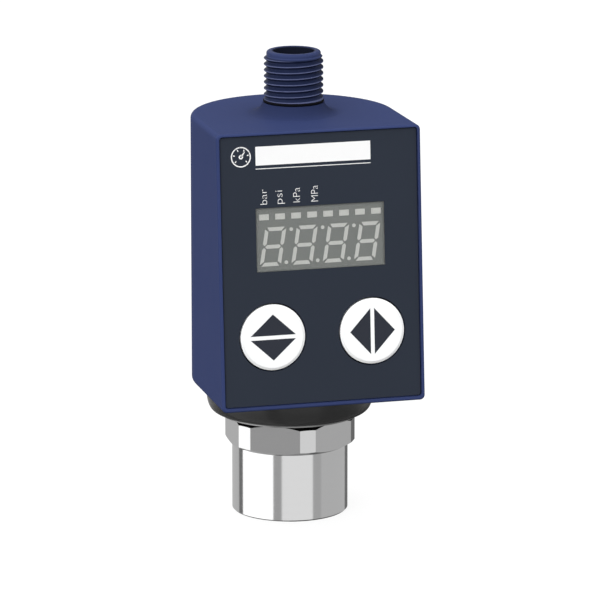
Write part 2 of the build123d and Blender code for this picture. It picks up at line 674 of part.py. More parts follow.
def digit_strokes():
    """The outlines of one digit's seven segments about its centre, mitred where they meet."""
    x, y = DIGIT_WIDE / 2, DIGIT_TALL / 2
    half = DIGIT_STROKE / 2
    tip = x - half - DIGIT_GAP
    inner = x - DIGIT_STROKE
    flat_end = inner - DIGIT_GAP
    level_end = x - DIGIT_CORNER
    middle = [(tip, 0), (tip - half, half), (half - tip, half)]
    middle += [(-tip, 0), (half - tip, -half), (tip - half, -half)]
    level = [(level_end, y), (-level_end, y), (-flat_end, y - DIGIT_STROKE)]
    level += [(flat_end, y - DIGIT_STROKE)]
    side = [(x, y - DIGIT_CORNER), (inner, y - DIGIT_STROKE - DIGIT_GAP), (inner, half + DIGIT_GAP)]
    side += [(x - half, DIGIT_GAP), (x, half + DIGIT_GAP)]
    outlines = [middle]
    for up in (1, -1):
        outlines.append([(a, up * b) for a, b in level][::up])
        for right in (1, -1):
            outlines.append([(right * a, up * b) for a, b in side][:: up * right])
    slant = math.tan(math.radians(DIGIT_SLANT))
    return [[(a + slant * b, b) for a, b in outline] for outline in outlines]


def flat_polygon(points):
    """A face from a list of flat points."""
    return make_face(Polyline(*points, close=True))


def make_display_parts():
    """Window, display module, digits, points and the row of indicator bars."""
    inner_wide = WINDOW_WIDE - 2 * MODULE_EDGE
    inner_tall = WINDOW_TALL - 2 * MODULE_EDGE
    middle = Pos(BUTTON_SHIFT, WINDOW_W)
    module = slab(middle * Rectangle(inner_wide, inner_tall), WINDOW_BACK_DEPTH, DISPLAY_BOARD_DEPTH)
    dish = middle * Rectangle(inner_wide - 2 * MODULE_RIM, inner_tall - 2 * MODULE_RIM)
    module -= slab(dish, WINDOW_BACK_DEPTH, MODULE_FACE_DEPTH)
    top = MODULE_FACE_DEPTH - SEGMENT_PROUD
    slant = math.tan(math.radians(DIGIT_SLANT))
    segments = []
    points = []
    for digit in range(DIGIT_COUNT):
        place = digit - (DIGIT_COUNT - 1) / 2
        centre = Pos(BUTTON_SHIFT + DIGIT_PITCH * place, WINDOW_W - DIGIT_DROP)
        for outline in digit_strokes():
            segments.append(slab(centre * flat_polygon(outline), top, MODULE_FACE_DEPTH))
        for rise in (-POINT_RISE, POINT_RISE):
            spot = centre * Pos(POINT_SHARE * DIGIT_PITCH + slant * rise, rise)
            if digit < DIGIT_COUNT - 1:
                points.append(slab(spot * Circle(POINT_R), top, MODULE_FACE_DEPTH))
    bars = []
    for bar in range(BAR_COUNT):
        place = bar - (BAR_COUNT - 1) / 2
        spot = Pos(BUTTON_SHIFT + BAR_SHIFT + BAR_PITCH * place, WINDOW_W + BAR_RISE)
        outline = spot * Rectangle(BAR_PITCH - BAR_SPACE, BAR_TALL)
        bars.append(slab(outline, top, MODULE_FACE_DEPTH))
    return {
        "display_window": slab(window_outline(-WINDOW_GAP), LABEL_FACE_DEPTH, WINDOW_BACK_DEPTH),
        "display_module": module,
        "digit_segments": Compound(children=segments),
        "digit_points": Compound(children=points),
        "indicator_bars": Compound(children=bars),
    }


def arrow_pair(turn):
    """Two triangles back to back, pointing up and down, turned by an angle."""
    up = [(-ARROW_HALF, ARROW_BASE), (ARROW_HALF, ARROW_BASE), (0, ARROW_TIP)]
    down = [(x, -y) for x, y in up]
    return [Rot(0, 0, turn) * flat_polygon(up), Rot(0, 0, turn) * flat_polygon(down)]


def make_button_parts():
    """Caps, arrow inlays, plungers, seals and switch bodies, left and right."""
    cap_back = BUTTON_FACE_DEPTH + BUTTON_FACE_THICK
    flange_back = FLANGE_DEPTH + BUTTON_FLANGE_THICK
    bevel_wide, bevel_deep = BUTTON_BEVEL
    cap = turned(
        (BUTTON_R - bevel_wide, -BUTTON_FACE_DEPTH),
        (BUTTON_R, -BUTTON_FACE_DEPTH - bevel_deep),
        (BUTTON_R, -FLANGE_DEPTH),
        (BUTTON_FLANGE_R, -FLANGE_DEPTH),
        (BUTTON_FLANGE_R, -flange_back),
        (BUTTON_R - BUTTON_WALL, -flange_back),
        (BUTTON_R - BUTTON_WALL, -cap_back),
        (0, -cap_back),
        (0, -BUTTON_FACE_DEPTH),
    )
    seal_low = LABEL_RECESS + FRONT_WALL / 2 - BUTTON_SEAL_TALL / 2
    seal_ring = Circle(BUTTON_HOLE_R + BUTTON_SEAL_GRIP) - Circle(BUTTON_R + RUNNING_GAP)
    plunger_end = SWITCH_DEPTH + SWITCH_BORE_DEEP - BUTTON_TRAVEL - PLUNGER_SPARE
    arrow_top = BUTTON_FACE_DEPTH + ARROW_BELOW
    parts = {}
    for name, place in button_places().items():
        arrows = arrow_pair(0 if name == "left" else 90)
        body = PANEL * place * cap
        for arrow in arrows:
            body -= slab(place * arrow, BUTTON_FACE_DEPTH, BUTTON_FACE_DEPTH + ARROW_DEEP)
        inlays = [
            slab(place * arrow, arrow_top, BUTTON_FACE_DEPTH + ARROW_DEEP) for arrow in arrows
        ]
        bore = place * Circle(PLUNGER_R + PLUNGER_GAP)
        switch = slab(place * Rectangle(*SWITCH_SIZE[:2]), SWITCH_DEPTH, DISPLAY_BOARD_DEPTH)
        switch -= slab(bore, SWITCH_DEPTH, SWITCH_DEPTH + SWITCH_BORE_DEEP)
        parts[f"button_{name}"] = body
        parts[f"button_{name}_arrows"] = Compound(children=inlays)
        parts[f"plunger_{name}"] = slab(place * Circle(PLUNGER_R), cap_back, plunger_end)
        parts[f"button_seal_{name}"] = slab(place * seal_ring, seal_low, seal_low + BUTTON_SEAL_TALL)
        parts[f"switch_{name}"] = switch
    return parts


def link_grid():
    """The places of the pins between the two boards."""
    first = -(LINK_COLUMNS - 1) / 2 * LINK_PITCH
    return [
        Pos(first + LINK_PITCH * column, LINK_W + row * LINK_PITCH / 2)
        for column in range(LINK_COLUMNS)
        for row in (-1, 1)
    ]


def make_screw(u, w):
    """One pan head screw with a cross slot, driven from behind the display board."""
    head_back = DISPLAY_BACK_DEPTH + SCREW_HEAD_TALL
    screw = slab(Pos(u, w) * Circle(SCREW_HEAD_R), DISPLAY_BACK_DEPTH, head_back)
    screw += slab(Pos(u, w) * Circle(SCREW_R), DISPLAY_BACK_DEPTH - SCREW_LONG, DISPLAY_BACK_DEPTH)
    for size in ((2 * SCREW_R, SCREW_R / 2), (SCREW_R / 2, 2 * SCREW_R)):
        screw -= slab(Pos(u, w) * Rectangle(*size), head_back - SCREW_HEAD_TALL / 2, head_back)
    return screw


def make_board_parts():
    """Both boards, the screws, the header between them and their larger components."""
    tall = DISPLAY_BOARD_HIGH - DISPLAY_BOARD_LOW
    middle = (DISPLAY_BOARD_HIGH + DISPLAY_BOARD_LOW) / 2
    size = (2 * display_board_half(), tall, BOARD_THICK)
    display = block(size, 0, middle, DISPLAY_BOARD_DEPTH)
    for u, w in boss_places():
        hole = Pos(u, w) * Circle(SCREW_R + SCREW_HOLE_GAP)
        display -= slab(hole, DISPLAY_BOARD_DEPTH, DISPLAY_BACK_DEPTH)
    power_tall = POWER_BOARD_HIGH - POWER_BOARD_LOW
    power_middle = (POWER_BOARD_HIGH + POWER_BOARD_LOW) / 2
    size = (2 * POWER_BOARD_HALF, power_tall, BOARD_THICK)
    power = block(size, 0, power_middle, POWER_BOARD_DEPTH)
    header_depth = POWER_BOARD_DEPTH - LINK_HEADER_TALL
    pin_depth = DISPLAY_BACK_DEPTH + LINK_SOCKET_FLOOR
    socket = block((*LINK_BODY, header_depth - DISPLAY_BACK_DEPTH), 0, LINK_W, DISPLAY_BACK_DEPTH)
    header = block((*LINK_BODY, LINK_HEADER_TALL), 0, LINK_W, header_depth)
    pins = []
    for place in link_grid():
        pin = place * Rectangle(LINK_PIN, LINK_PIN)
        wider = place * Rectangle(LINK_PIN + LINK_PIN_GAP, LINK_PIN + LINK_PIN_GAP)
        pins.append(slab(pin, pin_depth, POWER_BACK_DEPTH + LINK_PIN_OUT))
        power -= slab(wider, POWER_BOARD_DEPTH, POWER_BACK_DEPTH)
        header -= slab(pin, header_depth, POWER_BOARD_DEPTH)
        socket -= slab(wider, pin_depth - LINK_PIN_GAP, header_depth)
    drivers = [block(DRIVER, side * DRIVER_OUT, DRIVER_W, POWER_BACK_DEPTH) for side in (-1, 1)]
    can = Pos(CAPACITOR_OUT, FILTER_W) * Circle(CAPACITOR_R)
    socket_bottom = height_at(SOCKET_W - SOCKET[1] / 2, POWER_BACK_DEPTH + SOCKET[2])
    wires = []
    for turn in range(LEAD_COUNT):
        around = Rot(0, 0, 360 / LEAD_COUNT * turn + 45) * Pos(LEAD_SPREAD_R, 0)
        wires.append(around * disc(LEAD_R, PLUG_TOP_Z, socket_bottom - LEAD_END_GAP))
    return {
        "display_board": display,
        "power_board": power,
        "board_screws": Compound(children=[make_screw(u, w) for u, w in boss_places()]),
        "link_socket": socket,
        "link_header": header,
        "link_pins": Compound(children=pins),
        "controller_chip": block(CONTROLLER, 0, CONTROLLER_W, DISPLAY_BACK_DEPTH),
        "output_drivers": Compound(children=drivers),
        "filter_capacitor": slab(can, POWER_BACK_DEPTH, POWER_BACK_DEPTH + CAPACITOR_LONG),
        "power_inductor": block(INDUCTOR, -INDUCTOR_OUT, FILTER_W, POWER_BACK_DEPTH),
        "sensor_socket": block(SOCKET, 0, SOCKET_W, POWER_BACK_DEPTH),
        "sensor_lead": Compound(children=wires),
    }


def make_connector_parts():
    """Threaded shell, its seal, nut, contact carrier, contacts and the small board below them."""
    thread_high = THREAD_LOW_Z + THREAD_TALL
    bend = RIM_ROUND_R * (1 - math.sqrt(0.5))
    lip = ThreePointArc(
        (RIM_R - RIM_ROUND_R, RIM_Z), (RIM_R - bend, RIM_Z - bend), (RIM_R, RIM_Z - RIM_ROUND_R)
    )
    taper = THREAD_CREST_R - RIM_R
    rest = Polyline(
        (RIM_R, RIM_Z - RIM_ROUND_R),
        (RIM_R, thread_high),
        (THREAD_CREST_R, thread_high - taper),
        (THREAD_CREST_R, THREAD_LOW_Z),
        (STEM_R, THREAD_LOW_Z),
        (STEM_R, STEM_END_Z),
        (CONNECTOR_BORE_R, STEM_END_Z),
        (CONNECTOR_BORE_R, RIM_Z),
        (RIM_R - RIM_ROUND_R, RIM_Z),
    )
    shell = revolve(Plane.XZ * make_face(lip + rest), Axis.Z)
    nut = extrude(RegularPolygon(STEM_R + NUT_WIDE, 6, major_radius=False), NUT_TALL)
    nut = Pos(0, 0, ROOF_Z - NUT_TALL) * nut - disc(STEM_R, ROOF_Z - NUT_TALL, ROOF_Z)
    round_r = THREAD_CREST_R + CONNECTOR_SEAL_PROUD
    edge_r = THREAD_CREST_R - CONNECTOR_SEAL_PROUD
    edge = ThreePointArc(
        (edge_r, FOOT_TOP_Z), (round_r, FOOT_TOP_Z + THREAD_GAP / 2), (edge_r, THREAD_LOW_Z)
    )
    rest = Polyline(
        (edge_r, THREAD_LOW_Z), (STEM_R, THREAD_LOW_Z), (STEM_R, FOOT_TOP_Z), (edge_r, FOOT_TOP_Z)
    )
    seal = revolve(Plane.XZ * make_face(edge + rest), Axis.Z)
    carrier_r = CONNECTOR_BORE_R - CARRIER_GAP
    carrier = disc(carrier_r, STEM_END_Z, CARRIER_FACE_Z)
    key = Pos(0, carrier_r) * Rectangle(KEY_WIDE, 2 * KEY_DEEP)
    carrier -= Pos(0, 0, CARRIER_FACE_Z - KEY_DEEP) * extrude(key, KEY_DEEP)
    board = disc(CONNECTOR_BOARD_R, STEM_END_Z - CONNECTOR_BOARD_THICK, STEM_END_Z)
    tail_z = STEM_END_Z - CONNECTOR_BOARD_THICK - CONTACT_TAIL
    contacts = []
    for turn in range(CONTACT_COUNT):
        place = Rot(0, 0, 360 / CONTACT_COUNT * turn) * Pos(CONTACT_PITCH_R, 0)
        pin = disc(CONTACT_R, tail_z, CONTACT_TIP_Z)
        pin = chamfer(pin.edges().sort_by(Axis.Z)[-1], CONTACT_R / 2)
        contacts.append(CONNECTOR_AXIS * place * pin)
        wider = disc(CONTACT_R + CONTACT_GAP, tail_z, CARRIER_FACE_Z)
        carrier -= place * wider
        board -= place * wider
    return {
        "connector_shell": CONNECTOR_AXIS * shell,
        "connector_seal": CONNECTOR_AXIS * seal,
        "connector_nut": CONNECTOR_AXIS * nut,
        "contact_carrier": CONNECTOR_AXIS * carrier,
        "contact_pins": Compound(children=contacts),
        "connector_board": CONNECTOR_AXIS * board,
        "connector_link": Compound(children=make_connector_link()),
    }


def make_connector_link():
    """Four flat pins from the connector's board down the face of the power board."""
    lowest = POWER_BOARD_HIGH - LINK_WIRE_LAP
    depth = POWER_BOARD_DEPTH - LINK_WIRE
    board_under = STEM_END_Z - CONNECTOR_BOARD_THICK
    top_w = (board_under - HOUSING_Z + depth * math.sin(LEAN)) / math.cos(LEAN) - RAIL_GAP
    size = (LINK_WIRE, top_w - lowest, LINK_WIRE)
    columns = (-1.5, -0.5, 0.5, 1.5)
    return [block(size, LINK_PITCH * column, (top_w + lowest) / 2, depth) for column in columns]


def main():
    """Builds every piece and writes one file for each."""
    pieces = {
        "process_fitting": make_process_fitting(),
        "swivel_base": make_swivel_base(),
        "housing": make_housing(),
        "front_label": make_front_label(),
    }
    pieces.update(make_cell_parts())
    pieces.update(make_swivel_parts())
    pieces.update(make_display_parts())
    pieces.update(make_button_parts())
    pieces.update(make_board_parts())
    pieces.update(make_connector_parts())
    os.makedirs("parts", exist_ok=True)
    for name, piece in pieces.items():
        export_step(piece, f"parts/{name}.step")
        print(name, round(piece.volume, 1))


main()
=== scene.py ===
# Dresses a pressure transmitter: a dark blue display head that swivels on a steel process
# fitting. Sizes are millimetres in the row's frame, with the front towards -Y.

import json
import logging
import math
from abc import ABC, abstractmethod
from collections.abc import Callable, Mapping, Sequence
from dataclasses import dataclass
from enum import Enum

import bmesh
import bpy
from mathutils import Matrix, Vector


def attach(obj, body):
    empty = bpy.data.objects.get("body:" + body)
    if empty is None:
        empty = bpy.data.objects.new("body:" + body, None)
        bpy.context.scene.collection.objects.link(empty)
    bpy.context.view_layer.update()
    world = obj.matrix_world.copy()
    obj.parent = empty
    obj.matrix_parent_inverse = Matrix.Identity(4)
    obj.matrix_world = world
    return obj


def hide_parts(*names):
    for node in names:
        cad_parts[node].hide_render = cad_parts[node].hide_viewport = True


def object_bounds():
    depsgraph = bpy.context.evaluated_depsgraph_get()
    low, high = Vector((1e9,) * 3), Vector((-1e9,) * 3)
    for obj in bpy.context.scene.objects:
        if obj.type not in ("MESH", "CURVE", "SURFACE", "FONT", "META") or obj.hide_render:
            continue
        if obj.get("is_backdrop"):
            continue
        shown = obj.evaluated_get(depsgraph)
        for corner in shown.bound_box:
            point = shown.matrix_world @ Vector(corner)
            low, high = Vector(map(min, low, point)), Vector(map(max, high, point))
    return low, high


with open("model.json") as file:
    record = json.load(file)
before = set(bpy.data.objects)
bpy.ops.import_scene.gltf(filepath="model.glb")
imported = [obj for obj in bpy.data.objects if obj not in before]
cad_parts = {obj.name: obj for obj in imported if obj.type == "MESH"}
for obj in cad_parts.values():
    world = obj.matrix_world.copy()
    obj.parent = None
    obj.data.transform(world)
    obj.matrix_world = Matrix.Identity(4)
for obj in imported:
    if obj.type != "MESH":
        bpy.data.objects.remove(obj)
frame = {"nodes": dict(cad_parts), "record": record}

LOG = logging.getLogger("pressure_transmitter")
MM = 0.001
MIDDLE = 0.5
INK_SHARP_DEG = 20.0
SLOT_OF = {row["node"]: row["material_slot"] for row in frame["record"]["subparts"]}

Colour = tuple[float, float, float]
Place = tuple[float, float]
Section = Callable[[float], Place]


class Maths(Enum):
    """The steps of arithmetic that a surface's numbers go through."""

    ADD = "ADD"
    SUBTRACT = "SUBTRACT"
    MULTIPLY = "MULTIPLY"
    DIVIDE = "DIVIDE"
    POWER = "POWER"
    LARGER = "MAXIMUM"
    FRACTION = "FRACT"
    SIZE = "ABSOLUTE"
    SINE = "SINE"
    ANGLE = "ARCTAN2"


class Body(Enum):
    """The bodies that the scene's own pieces ride on."""

    FITTING = "fitting"
    HEAD = "head"


class Signal:
    """A number that changes over a surface: a socket that Python's operators work on."""

    def __init__(self, graph: "Graph", socket: bpy.types.NodeSocket) -> None:
        """Keeps the output socket that carries the number, and the graph for new nodes."""
        self.graph = graph
        self.socket = socket

    def work(self, step: Maths, left: "Operand", right: "Operand" = 0.0) -> "Signal":
        """Adds one step of arithmetic.

        Args:
            step: Which step.
            left: Its first number.
            right: Its second number, where it has one.

        Returns:
            The result as a signal.
        """
        node = self.graph.add("ShaderNodeMath", {"operation": step.value}, {0: left, 1: right})
        return Signal(self.graph, node.outputs[0])

    def __add__(self, other: "Operand") -> "Signal":
        """This plus another."""
        return self.work(Maths.ADD, self, other)

    def __radd__(self, other: "Operand") -> "Signal":
        """Another plus this."""
        return self.work(Maths.ADD, other, self)

    def __sub__(self, other: "Operand") -> "Signal":
        """This less another."""
        return self.work(Maths.SUBTRACT, self, other)

    def __rsub__(self, other: "Operand") -> "Signal":
        """Another less this."""
        return self.work(Maths.SUBTRACT, other, self)

    def __mul__(self, other: "Operand") -> "Signal":
        """This times another."""
        return self.work(Maths.MULTIPLY, self, other)

    def __rmul__(self, other: "Operand") -> "Signal":
        """Another times this."""
        return self.work(Maths.MULTIPLY, other, self)

    def __truediv__(self, other: "Operand") -> "Signal":
        """This divided by another."""
        return self.work(Maths.DIVIDE, self, other)

    def __pow__(self, other: "Operand") -> "Signal":
        """This to the power of another."""
        return self.work(Maths.POWER, self, other)

    def __abs__(self) -> "Signal":
        """This without its sign."""
        return self.work(Maths.SIZE, self)

    def larger(self, other: "Operand") -> "Signal":
        """The larger of this and another."""
        return self.work(Maths.LARGER, self, other)

    def fraction(self) -> "Signal":
        """What is left of this above a whole number."""
        return self.work(Maths.FRACTION, self)

    def sine(self) -> "Signal":
        """The sine of this, in radians."""
        return self.work(Maths.SINE, self)

    def angle_from(self, along: "Operand") -> "Signal":
        """The angle, from minus pi to pi, with this as its far side and another as its near side."""
        return self.work(Maths.ANGLE, self, along)

    def rise(self, low: float, high: float) -> "Signal":
        """A soft step from nothing at one value to one at another.

        Args:
            low: Where the step starts.
            high: Where it ends.

        Returns:
            The step, between 0 and 1.
        """
        node = self.graph.add(
            "ShaderNodeMapRange",
            {"interpolation_type": "SMOOTHSTEP"},
            {"Value": self, "From Min": low, "From Max": high},
        )
        return Signal(self.graph, node.outputs[0])


Operand = Signal | float
Feed = Signal | bpy.types.NodeSocket | float | Sequence[float]


class Graph:
    """A node tree and the one way in which its nodes are added."""

    def __init__(self, tree: bpy.types.NodeTree) -> None:
        """Empties the tree of a material or of the world, and starts from there."""
        self.tree = tree
        tree.nodes.clear()

    def add(
        self,
        kind: str,
        settings: Mapping[str, object] | None = None,
        feeds: Mapping[int | str, Feed] | None = None,
    ) -> bpy.types.Node:
        """Adds a node, sets it, and then feeds its sockets.

        Args:
            kind: The node's type.
            settings: Its own settings. "stops" holds a ramp's places and grey levels.
            feeds: What each of its input sockets gets: a value or a link.

        Returns:
            The node.
        """
        node = self.tree.nodes.new(kind)
        for name, value in (settings or {}).items():
            if name == "stops":
                self._fill(node.color_ramp, value)
            else:
                setattr(node, name, value)
        for name, feed in (feeds or {}).items():
            source = feed.socket if isinstance(feed, Signal) else feed
            if isinstance(source, bpy.types.NodeSocket):
                self.tree.links.new(source, node.inputs[name])
            else:
                node.inputs[name].default_value = source
        return node

    @staticmethod
    def _fill(ramp: bpy.types.ColorRamp, stops: Sequence[Place]) -> None:
        """Gives a ramp its stops, in order of place.

        Args:
            ramp: The ramp, with its two first stops.
            stops: The place and grey level of each stop.
        """
        while len(ramp.elements) < len(stops):
            ramp.elements.new(1.0)
        for element, (place, level) in zip(ramp.elements, stops):
            element.position = place
            element.color = (level, level, level, 1.0)

    def parts(self, vector: bpy.types.NodeSocket) -> tuple[Signal, Signal, Signal]:
        """Splits the vector of a socket into its x, y and z."""
        x, y, z = self.add("ShaderNodeSeparateXYZ", feeds={0: vector}).outputs
        return Signal(self, x), Signal(self, y), Signal(self, z)

    def blend(self, share: Feed, first: Feed, second: Feed) -> bpy.types.NodeSocket:
        """Mixes two colours: the first where the share is nothing, the second where it is one."""
        feeds = {0: share, 6: opaque(first), 7: opaque(second)}
        return self.add("ShaderNodeMix", {"data_type": "RGBA"}, feeds).outputs[2]


def grey(level: float) -> Colour:
    """The grey whose three parts are all at one level."""
    return (level, level, level)


def opaque(colour: Feed) -> Feed:
    """A colour with full cover added where it has three numbers; a link stays as it is."""
    is_link = isinstance(colour, (Signal, bpy.types.NodeSocket))
    return colour if is_link or len(colour) == 4 else (*colour, 1.0)


class Surface:
    """A material while it is being made: its graph, its shader and places on the piece."""

    def __init__(self, name: str) -> None:
        """Makes the material with a bare shader.

        Args:
            name: The material's name.
        """
        self.material = bpy.data.materials.new(name)
        self.material.use_nodes = True
        self.graph = Graph(self.material.node_tree)
        self.place = self.graph.add("ShaderNodeTexCoord").outputs["Object"]
        self.shader = self.graph.add("ShaderNodeBsdfPrincipled")
        self.graph.add("ShaderNodeOutputMaterial", feeds={"Surface": self.shader.outputs[0]})

    def level(self, **levels: float) -> None:
        """Sets what is the same all over the surface.

        Args:
            levels: The shader's sockets by name, with _ for each space.
        """
        for name, value in levels.items():
            socket = name.replace("_", " ").title().replace("Ior", "IOR")
            self.shader.inputs[socket].default_value = value

    def feed(self, socket: str, source: Feed) -> None:
        """Links what changes over the surface to one of the shader's sockets, by its name."""
        link = source.socket if isinstance(source, Signal) else source
        self.graph.tree.links.new(link, self.shader.inputs[socket])

    def axes(self) -> tuple[Signal, Signal, Signal]:
        """Where a point of the piece is, in metres along x, y and z."""
        return self.graph.parts(self.place)

    def from_axis(self, axis_y_mm: float = 0.0) -> tuple[Signal, Signal]:
        """Finds where a point of the piece is from an upright axis.

        Args:
            axis_y_mm: Where the axis stands along y.

        Returns:
            The distance from the axis and the height, in metres.
        """
        x, y, z = self.axes()
        aside = y - axis_y_mm * MM
        return (x * x + aside * aside) ** 0.5, z

    def cloud(
        self, feature_mm: float, detail: float = 2.0, stretch: Sequence[float] = (1, 1, 1)
    ) -> Signal:
        """A soft random pattern through the piece.

        Args:
            feature_mm: The size of its lumps.
            detail: How many finer patterns lie on it.
            stretch: How many times finer it is along x, y and z.

        Returns:
            The pattern, about 0.5 in the middle.
        """
        place = {"Vector": self.place, "Scale": tuple(stretch)}
        scaled = self.graph.add("ShaderNodeMapping", feeds=place).outputs[0]
        feeds = {"Vector": scaled, "Scale": 1 / (feature_mm * MM), "Detail": detail}
        return Signal(self.graph, self.graph.add("ShaderNodeTexNoise", feeds=feeds).outputs[0])

    def ripple(self, along: Signal, feature_mm: float, detail: float = 1.0) -> Signal:
        """A random pattern that changes in one direction only.

        Args:
            along: The distance in metres that it follows.
            feature_mm: The size of its steps.
            detail: How many finer patterns lie on it.

        Returns:
            The pattern, about 0.5 in the middle.
        """
        feeds = {"W": along, "Scale": 1 / (feature_mm * MM), "Detail": detail}
        node = self.graph.add("ShaderNodeTexNoise", {"noise_dimensions": "1D"}, feeds)
        return Signal(self.graph, node.outputs[0])

    def relief(self, height: Signal, depth_mm: float) -> None:
        """Raises the surface by a height from 0 to 1 of a depth, without changing its outline."""
        feeds = {"Height": height, "Distance": depth_mm * MM}
        self.feed("Normal", self.graph.add("ShaderNodeBump", feeds=feeds).outputs[0])

    def grain(self, feature_mm: float, deep_mm: float) -> None:
        """Gives the surface a random grain, by the size of its lumps and its depth."""
        self.relief(self.cloud(feature_mm, detail=1.0), deep_mm)

    def gloss(self, roughness: float, swing: float, share: Signal) -> None:
        """Swings the roughness about its middle value, up where the share is high."""
        self.feed("Roughness", roughness + (share - MIDDLE) * swing)

    def tint(self, colour: Colour, change: float, share: Signal) -> None:
        """Colours the surface a little lighter and darker.

        Args:
            colour: The colour in the middle.
            change: How much lighter or darker it gets, as a share of it.
            share: Where it is lighter, from 0 to 1.
        """
        darker = tuple(part * (1 - change) for part in colour)
        lighter = tuple(min(part * (1 + change), 1.0) for part in colour)
        self.feed("Base Color", self.graph.blend(share, darker, lighter))


@dataclass(frozen=True)
class Finish(ABC):
    """What every finish has: its name, its colour as plain light, its gloss and its unevenness."""

    name: str
    colour: Colour
    roughness: float
    specular: float = 0.3
    unevenness: float = 0.03
    gloss_swing: float = 0.12
    gloss_mm: float = 9.0
    cloud_mm: float = 9.0
    grain_mm: float = 0.16
    grain_deep_mm: float = 0.004

    def make(self) -> bpy.types.Material:
        """Makes the finish's material.

        Returns:
            The material.
        """
        surface = Surface(self.name)
        surface.level(roughness=self.roughness, specular_ior_level=self.specular)
        self.dress(surface)
        return surface.material

    @abstractmethod
    def dress(self, surface: Surface) -> None:
        """Adds what the finish has besides its level values.

        Args:
            surface: The material being made.
        """


@dataclass(frozen=True)
class Moulding(Finish):
    """Moulded plastic or rubber: the mould's fine grain, and a slight unevenness in colour and gloss."""

    def shade(self, surface: Surface) -> None:
        """Colours the moulding, a little lighter and darker in clouds."""
        surface.tint(self.colour, self.unevenness, surface.cloud(self.cloud_mm))

    def dress(self, surface: Surface) -> None:
        """Adds the colour, the clouds in the gloss, and the grain.

        Args:
            surface: The material being made.
        """
        self.shade(surface)
        surface.gloss(self.roughness, self.gloss_swing, surface.cloud(self.gloss_mm))
        surface.grain(self.grain_mm, self.grain_deep_mm)


@dataclass(frozen=True)
class ShadedMoulding(Moulding):
    """The housing's moulding, with painted shade on the roof round the foot of the connector."""

    unevenness: float = 0.04
    axis_y_mm: float = -2.95
    foot_mm: Place = (10.0, 6.4)
    above_mm: Place = (80.6, 81.0)
    # How much darker the painted shade makes the moulding at the connector's foot.
    foot_shade: float = 0.42

    def shade(self, surface: Surface) -> None:
        """Colours the moulding, with painted shade darkening it round the connector's foot.

        Args:
            surface: The material being made.
        """
        out, z = surface.from_axis(self.axis_y_mm)
        # Where the painted shade falls: full within 6.4 mm of the connector's axis, gone at 10 mm, and
        # only above the roof's height.
        foot = (out / MM).rise(*self.foot_mm) * (z / MM).rise(*self.above_mm)
        clouds = (surface.cloud(self.cloud_mm) - MIDDLE) * self.unevenness
        surface.tint(self.colour, self.foot_shade, (1 - foot) * MIDDLE + clouds)


@dataclass(frozen=True)
class TurnedMetal(Finish):
    """Metal from the lathe: fine rings that follow the tool, and a milled stretch that is darker."""

    unevenness: float = 0.065
    gloss_swing: float = 0.05
    gloss_mm: float = 0.9
    cloud_mm: float = 4.0
    cloud_share: float = 0.15
    cloud_stretch: tuple[float, ...] = (1, 1, 6)
    ring_mm: float = 0.14
    ring_deep_mm: float = 0.0006
    facing: float = 0.9
    milled_mm: Place = (0.0, 0.0)
    milled_edge_mm: float = 0.05

    def dress(self, surface: Surface) -> None:
        """Adds the tool's rings, the change in gloss from ring to ring, and the milled stretch.

        Args:
            surface: The material being made.
        """
        surface.level(metallic=1.0)
        out, z = surface.from_axis()
        travel = z + out * self.facing
        surface.gloss(self.roughness, self.gloss_swing, surface.ripple(travel, self.gloss_mm, 3.0))
        low, high = (edge * MM for edge in self.milled_mm)
        edge = self.milled_edge_mm * MM
        turned = z.rise(low, low - edge).larger(z.rise(high, high + edge))
        clouds = surface.cloud(self.cloud_mm, stretch=self.cloud_stretch)
        share = turned * (1 - self.cloud_share) + clouds * self.cloud_share
        surface.tint(self.colour, self.unevenness, share)
        surface.relief(surface.ripple(travel, self.ring_mm, 2.0), self.ring_deep_mm)


@dataclass(frozen=True)
class LitAndShadedThread(Moulding):
    """The connector's moulding, with painted light: darker than the housing's blue as painted shade in
    the grooves, painted shade in the bore, and painted highlights on the crests and the rim.
    """

    gloss_swing: float = 0.1
    gloss_mm: float = 4.0
    grain_deep_mm: float = 0.003
    axis_y_mm: float = -2.95
    # Painted highlights on the crests and on the rim's top, and painted shade in the bore, each from
    # where it starts to where it is full.
    crest_mm: Place = (5.79, 5.845)
    crest: Colour = (0.09, 0.105, 0.2)
    rim_mm: Place = (92.3, 92.6)
    rim_highlight: Colour = (0.029, 0.041, 0.112)
    bore_mm: Place = (4.3, 4.1)
    bore: Colour = (0.008, 0.01, 0.02)

    def shade(self, surface: Surface) -> None:
        """Paints light and shade on the thread by the distance from the connector's axis and by the
        height.

        Args:
            surface: The material being made.
        """
        out, z = (part / MM for part in surface.from_axis(self.axis_y_mm))
        wall = surface.graph.blend(out.rise(*self.crest_mm), self.colour, self.crest)
        wall = surface.graph.blend(z.rise(*self.rim_mm), wall, self.rim_highlight)
        wall = surface.graph.blend(out.rise(*self.bore_mm), wall, self.bore)
        surface.feed("Base Color", wall)


